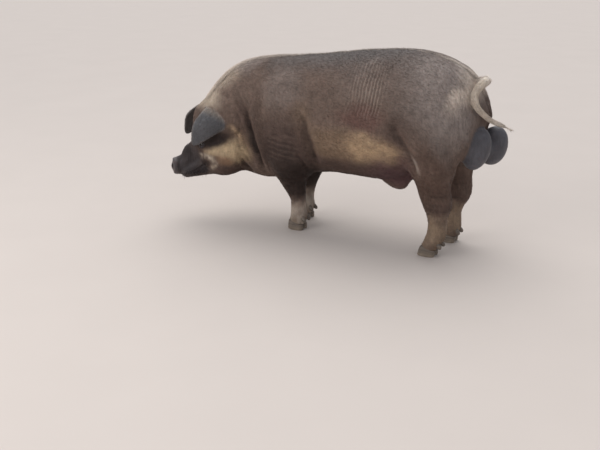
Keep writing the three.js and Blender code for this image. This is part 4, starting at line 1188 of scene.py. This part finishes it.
# where each coat grows: a weight for each triangle of the skin
tri = triangles
middle = skinPoints[tri].mean(1)
one, two, three = [skinPoints[k] for k in tri.T]
faceNormal = np.cross(two - one, three - one)
area = np.linalg.norm(faceNormal, axis=1) / 2
vertexNormal = [np.bincount(tri.ravel(), np.repeat(k, 3), len(skinPoints)) for k in faceNormal.T]
vertexNormal = unit(np.stack(vertexNormal, 1))
spine = straighten(middle)
along, side, up = spine.T
left, right = [earPlace(spine, turn)[0] * (side * turn > 0) for turn in (-1, 1)]
onEar = (earHeight(spine) < .004) & (np.maximum(left, right) > -.10)
tailAway, tailShare = tailPlace(middle)[:2]
onTail = (tailAway < .004) & (tailShare > .10) & (tailShare < .985)
onLeg = (up < .37) & (np.min([legShape(middle, leg) for leg in legs.values()], 0) < .004)
onHead = (along < -.80) & ~onEar
onNeck = (along >= -.80) & (along < -.50) & ~onEar & ~onLeg
onTrunk = ~(onEar | onTail | onLeg | onHead | onNeck)
nape = fade(np.abs(side), .040, .012) * fade(unit(faceNormal)[:, 2], .35, .75)
nape = nape * fade(along, -.93, -.88) * (1 - .90 * fade(along, -.66, -.40))
ridge = fade(np.abs(middle[:, 1]), .016, .006) * band(middle[:, 0], .34, .38, .48, .50)
nape = nape + .9 * ridge * (up > .60)
hairy = (1 - .97 * skinBare[tri].mean(1)) * (up > .034)
hairy = hairy * (1 - .93 * fade(scrotumShape(middle), .012, .002) * (middle[:, 0] > .46))
share = dict(
    coat_trunk_left=onTrunk & (middle[:, 1] < 0), coat_trunk_right=onTrunk & (middle[:, 1] >= 0),
    coat_neck=onNeck, coat_head=onHead * (1 + 2.2 * fade(along, -.88, -1.0)), coat_ears=onEar,
    coat_tail=onTail, coat_legs=onLeg * (1 + 1.5 * fade(up, .20, .06)), coat_crest=nape * ~onEar)
bodyLength = dict(
    coat_head=lambda p, s: np.interp(s[:, 0], [-1.09, -1.02, -.93, -.82], [.45, .60, .90, 1.5]),
    coat_legs=lambda p, s: np.interp(p[:, 2], [.045, .09, .20, .36], [.50, .50, .90, 1.5]),
    coat_tail=lambda p, s: 1 + .7 * fade(tailPlace(p)[1], .60, .92),
    coat_crest=lambda p, s: np.interp(s[:, 0], [-.92, -.8, -.6, -.35, .34, .45], [.7, 1.25, 1, .55, .5, .8]))


def varied(value, low, spread):
    return value * (low + spread * random.random(len(root)))


coatPieces = []
for name, c in coats.items():
    # roots scattered over the triangles by weight, and evenly inside each
    weight = np.cumsum(area * hairy * share[name])
    pick = tri[np.searchsorted(weight, random.random(c["count"]) * weight[-1])]
    r1, r2 = np.sqrt(random.random((c["count"], 1))), random.random((c["count"], 1))
    mix = np.concatenate([1 - r1, r1 * (1 - r2), r1 * r2], 1)[:, :, None]
    root, normal, tone, lowHeight = [(values[pick] * mix).sum(1)
                                     for values in (skinPoints, vertexNormal, skinTone, height[:, None])]
    s = straighten(root)
    size = varied(c["length"] * bodyLength.get(name, lambda p, s: 1)(root, s), .72, .5)
    if name == "coat_crest":
        tone = mixTone(tone, "pale", varied(1, .35, .3))
    width, lift = varied(c["width"], .8, .4), varied(c["lift"], .4, 1.2)
    grown = [growTufts(root, unit(normal), lie(name, root, s), size, width, lift, tone, lowHeight[:, 0])]
    roots = [root]
    if name == "coat_head":
        lots = [(*lidHairs(-1), lashes), (*lidHairs(1), lashes), (*chinHairs(), whiskers)]
        grown += [singleHairs(*lot) for lot in lots]
        roots += [lot[0] for lot in lots]
    points, colour, normals = [np.concatenate(k) for k in zip(*grown)]
    faces = (tuftFaces[None] + 7 * np.arange(len(points) // 7)[:, None, None]).reshape(-1, 3)
    spots = np.concatenate([chart(name, k, straighten(k)) for k in roots])
    piece = makeMesh(name, points, faces, normals=None if name == "coat_tail" else normals)
    giveColour(piece, "tone", colour)
    giveTuftMap(piece, spots)
    coatPieces.append(piece)
    print(name, len(faces), "triangles")


# finishes

def newFinish(name, **sockets):
    finish = bpy.data.materials.new(name)
    finish.use_nodes = True
    tree = finish.node_tree
    shader = tree.nodes["Principled BSDF"]
    for key, value in sockets.items():
        shader.inputs[key.replace("_", " ")].default_value = value

    def add(kind, output=0, settings=(), **inputs):
        node = tree.nodes.new("ShaderNode" + kind)
        for key, value in dict(settings).items():
            setattr(node, key, value)
        for key, value in inputs.items():
            numbered = key[0] == "i" and key[1:].isdigit()      # i1 is the input number 1
            socket = node.inputs[int(key[1:]) if numbered else key.replace("_", " ")]
            if isinstance(value, bpy.types.NodeSocket):
                tree.links.new(value, socket)
            else:
                socket.default_value = value
        return node.outputs[output]

    def feed(key, value):
        tree.links.new(value, shader.inputs[key])

    def speckle(tone, noise, **range):
        feed("Base Color", add("VectorMath", 0, dict(operation="SCALE"), i0=tone,
                               Scale=add("MapRange", 0, Value=noise, **range)))
    return finish, add, feed, speckle


def hideFinish():
    # painted tone, streaked across the lie of the coat and speckled, over fine grain and creases
    finish, add, feed, speckle = newFinish("hide", Subsurface_Weight=.04, Subsurface_Scale=.01,
                                           Specular_IOR_Level=.32)
    tone = add("Attribute", 0, dict(attribute_name="tone"))
    bare = add("Attribute", 2, dict(attribute_name="bare"))
    place = add("TexCoord", 3)
    long = add("Mapping", 0, Vector=place, Scale=(95, 95, 24))
    streak = add("TexNoise", 0, Vector=long, Scale=1, Detail=3, Roughness=.6)
    speck = add("TexNoise", 0, Vector=place, Scale=330, Detail=4, Roughness=.65)
    cells = add("TexVoronoi", 0, Vector=place, Scale=210)
    first = add("MapRange", 0, Value=streak, i3=.86, i4=1.14, i1=.3, i2=.7)
    second = add("MapRange", 0, Value=speck, i3=.84, i4=1.16, i1=.3, i2=.7)
    both = add("Math", 0, dict(operation="MULTIPLY"), i0=first, i1=second)
    feed("Base Color", add("VectorMath", 0, dict(operation="SCALE"), i0=tone, Scale=both))
    feed("Roughness", add("MapRange", 0, Value=bare, i3=.66, i4=.40))
    rough = add("Math", 0, dict(operation="MULTIPLY"), i0=cells, i1=.6)
    grain = add("Math", 0, dict(operation="ADD"), i0=speck, i1=rough)
    feed("Normal", add("Bump", 0, Height=grain, Strength=.45, Distance=.0012))
    return finish


def coatFinish():
    finish, add, feed, speckle = newFinish("coat", Roughness=.58, Specular_IOR_Level=.30)
    speck = add("TexNoise", 0, Vector=add("TexCoord", 3), Scale=120, Detail=2)
    speckle(add("Attribute", 0, dict(attribute_name="tone")), speck, i1=.3, i2=.7, i3=.85, i4=1.15)
    return finish


def hornFinish():
    # dark horn with growth lines round it, dusty towards the sole
    finish, add, feed, speckle = newFinish("horn", Roughness=.52)
    place = add("TexCoord", 3)
    lines = add("TexNoise", 0, Vector=add("Mapping", 0, Vector=place, Scale=(18, 18, 330)), Scale=1, Detail=3)
    blotch = add("TexNoise", 0, Vector=place, Scale=45, Detail=3)
    up = add("SeparateXYZ", 2, Vector=place)
    dusty = add("MapRange", 0, Value=up, i1=.030, i2=.002, i3=.15, i4=.95)
    dusty = add("Math", 0, dict(operation="MULTIPLY"), i0=dusty, i1=blotch)
    dark = add("ValToRGB", 0, Fac=lines)
    ramp = dark.node.color_ramp
    ramp.elements[0].position, ramp.elements[0].color = .35, (.072, .058, .047, 1)
    ramp.elements[1].position, ramp.elements[1].color = .68, (.185, .148, .120, 1)
    feed("Base Color", add("Mix", 2, dict(data_type="RGBA"), i0=dusty, i6=dark, i7=(.34, .27, .20, 1)))
    feed("Normal", add("Bump", 0, Height=lines, Strength=.3, Distance=.0008))
    return finish


def eyeFinish():
    finish, add, feed, speckle = newFinish("eye", Roughness=.06, Coat_Weight=1., Coat_Roughness=.02)
    fine = add("TexNoise", 0, Vector=add("TexCoord", 3), Scale=900, Detail=2)
    speckle(add("Attribute", 0, dict(attribute_name="tone")), fine, i3=.85, i4=1.15)
    return finish


def floorFinish():
    finish, add, feed, speckle = newFinish("floor", Roughness=.9)
    haze = add("TexNoise", 0, Vector=add("TexCoord", 3), Scale=2.2, Detail=4)
    speckle((.60, .545, .51), haze, i3=.97, i4=1.03)
    return finish


def dress(pieces, finish):
    for piece in pieces:
        piece.data.materials.clear()
        piece.data.materials.append(finish)


for pieces, finish in (([skin], hideFinish), (coatPieces, coatFinish), (claws, hornFinish),
                       (eyeballs, eyeFinish)):
    dress(pieces, finish())
print("finishes")


# floor, light and camera

stage = dict(floorHalf=40, world=(.90, .91, .95), worldStrength=.60)
sky = dict(aim=(.30, -.42, -1), strength=1.9, spread=70, tone=(1, .98, .95))
front = dict(place=(-2.6, -4.4, 2.4), aim=(-.2, 0, .45), size=3.2, power=70, tone=(1, .97, .93))
view = dict(place=(1.5818411, -3.52573536, 1.375), right=(.87068694, .49183762, 0),
            ahead=(-.46512425, .82339697, -.32507977), lens=48)

half = stage["floorHalf"]
ground = bpy.data.meshes.new("floor")
corners = [(-half, -half, 0), (half, -half, 0), (half, half, 0), (-half, half, 0)]
ground.from_pydata(corners, [], [(0, 1, 2, 3)])
floor = bpy.data.objects.new("floor", ground)
bpy.context.scene.collection.objects.link(floor)
dress([floor], floorFinish())
floor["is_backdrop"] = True

world = bpy.data.worlds.new("world")
world.use_nodes = True
world.node_tree.nodes["Background"].inputs["Color"].default_value = (*stage["world"], 1)
world.node_tree.nodes["Background"].inputs["Strength"].default_value = stage["worldStrength"]
bpy.context.scene.world = world

sun = bpy.data.lights.new("sky", "SUN")
sun.energy, sun.angle, sun.color = sky["strength"], np.radians(sky["spread"]), sky["tone"]
lamp = bpy.data.lights.new("front", "AREA")
lamp.energy, lamp.size, lamp.color = front["power"], front["size"], front["tone"]
frontWay = Vector(front["aim"]) - Vector(front["place"])
for data, place, way in ((sun, (0, 0, 4), Vector(sky["aim"])), (lamp, front["place"], frontWay)):
    thing = bpy.data.objects.new(data.name, data)
    thing.location = Vector(place) + Vector(toModel)
    thing.rotation_mode = "QUATERNION"
    thing.rotation_quaternion = way.to_track_quat("-Z", "Y")
    bpy.context.scene.collection.objects.link(thing)

camera = bpy.data.objects.new("camera", bpy.data.cameras.new("camera"))
camera.data.lens, camera.data.sensor_width = view["lens"], 36
ahead, right = Vector(view["ahead"]).normalized(), Vector(view["right"]).normalized()
turn = Matrix((right, right.cross(ahead), -ahead)).transposed()
camera.matrix_world = Matrix.Translation(Vector(view["place"]) + Vector(toModel)) @ turn.to_4x4()
bpy.context.scene.collection.objects.link(camera)
bpy.context.scene.camera = camera
bpy.context.scene.view_settings.view_transform = "Standard"

low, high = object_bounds()
print("done")
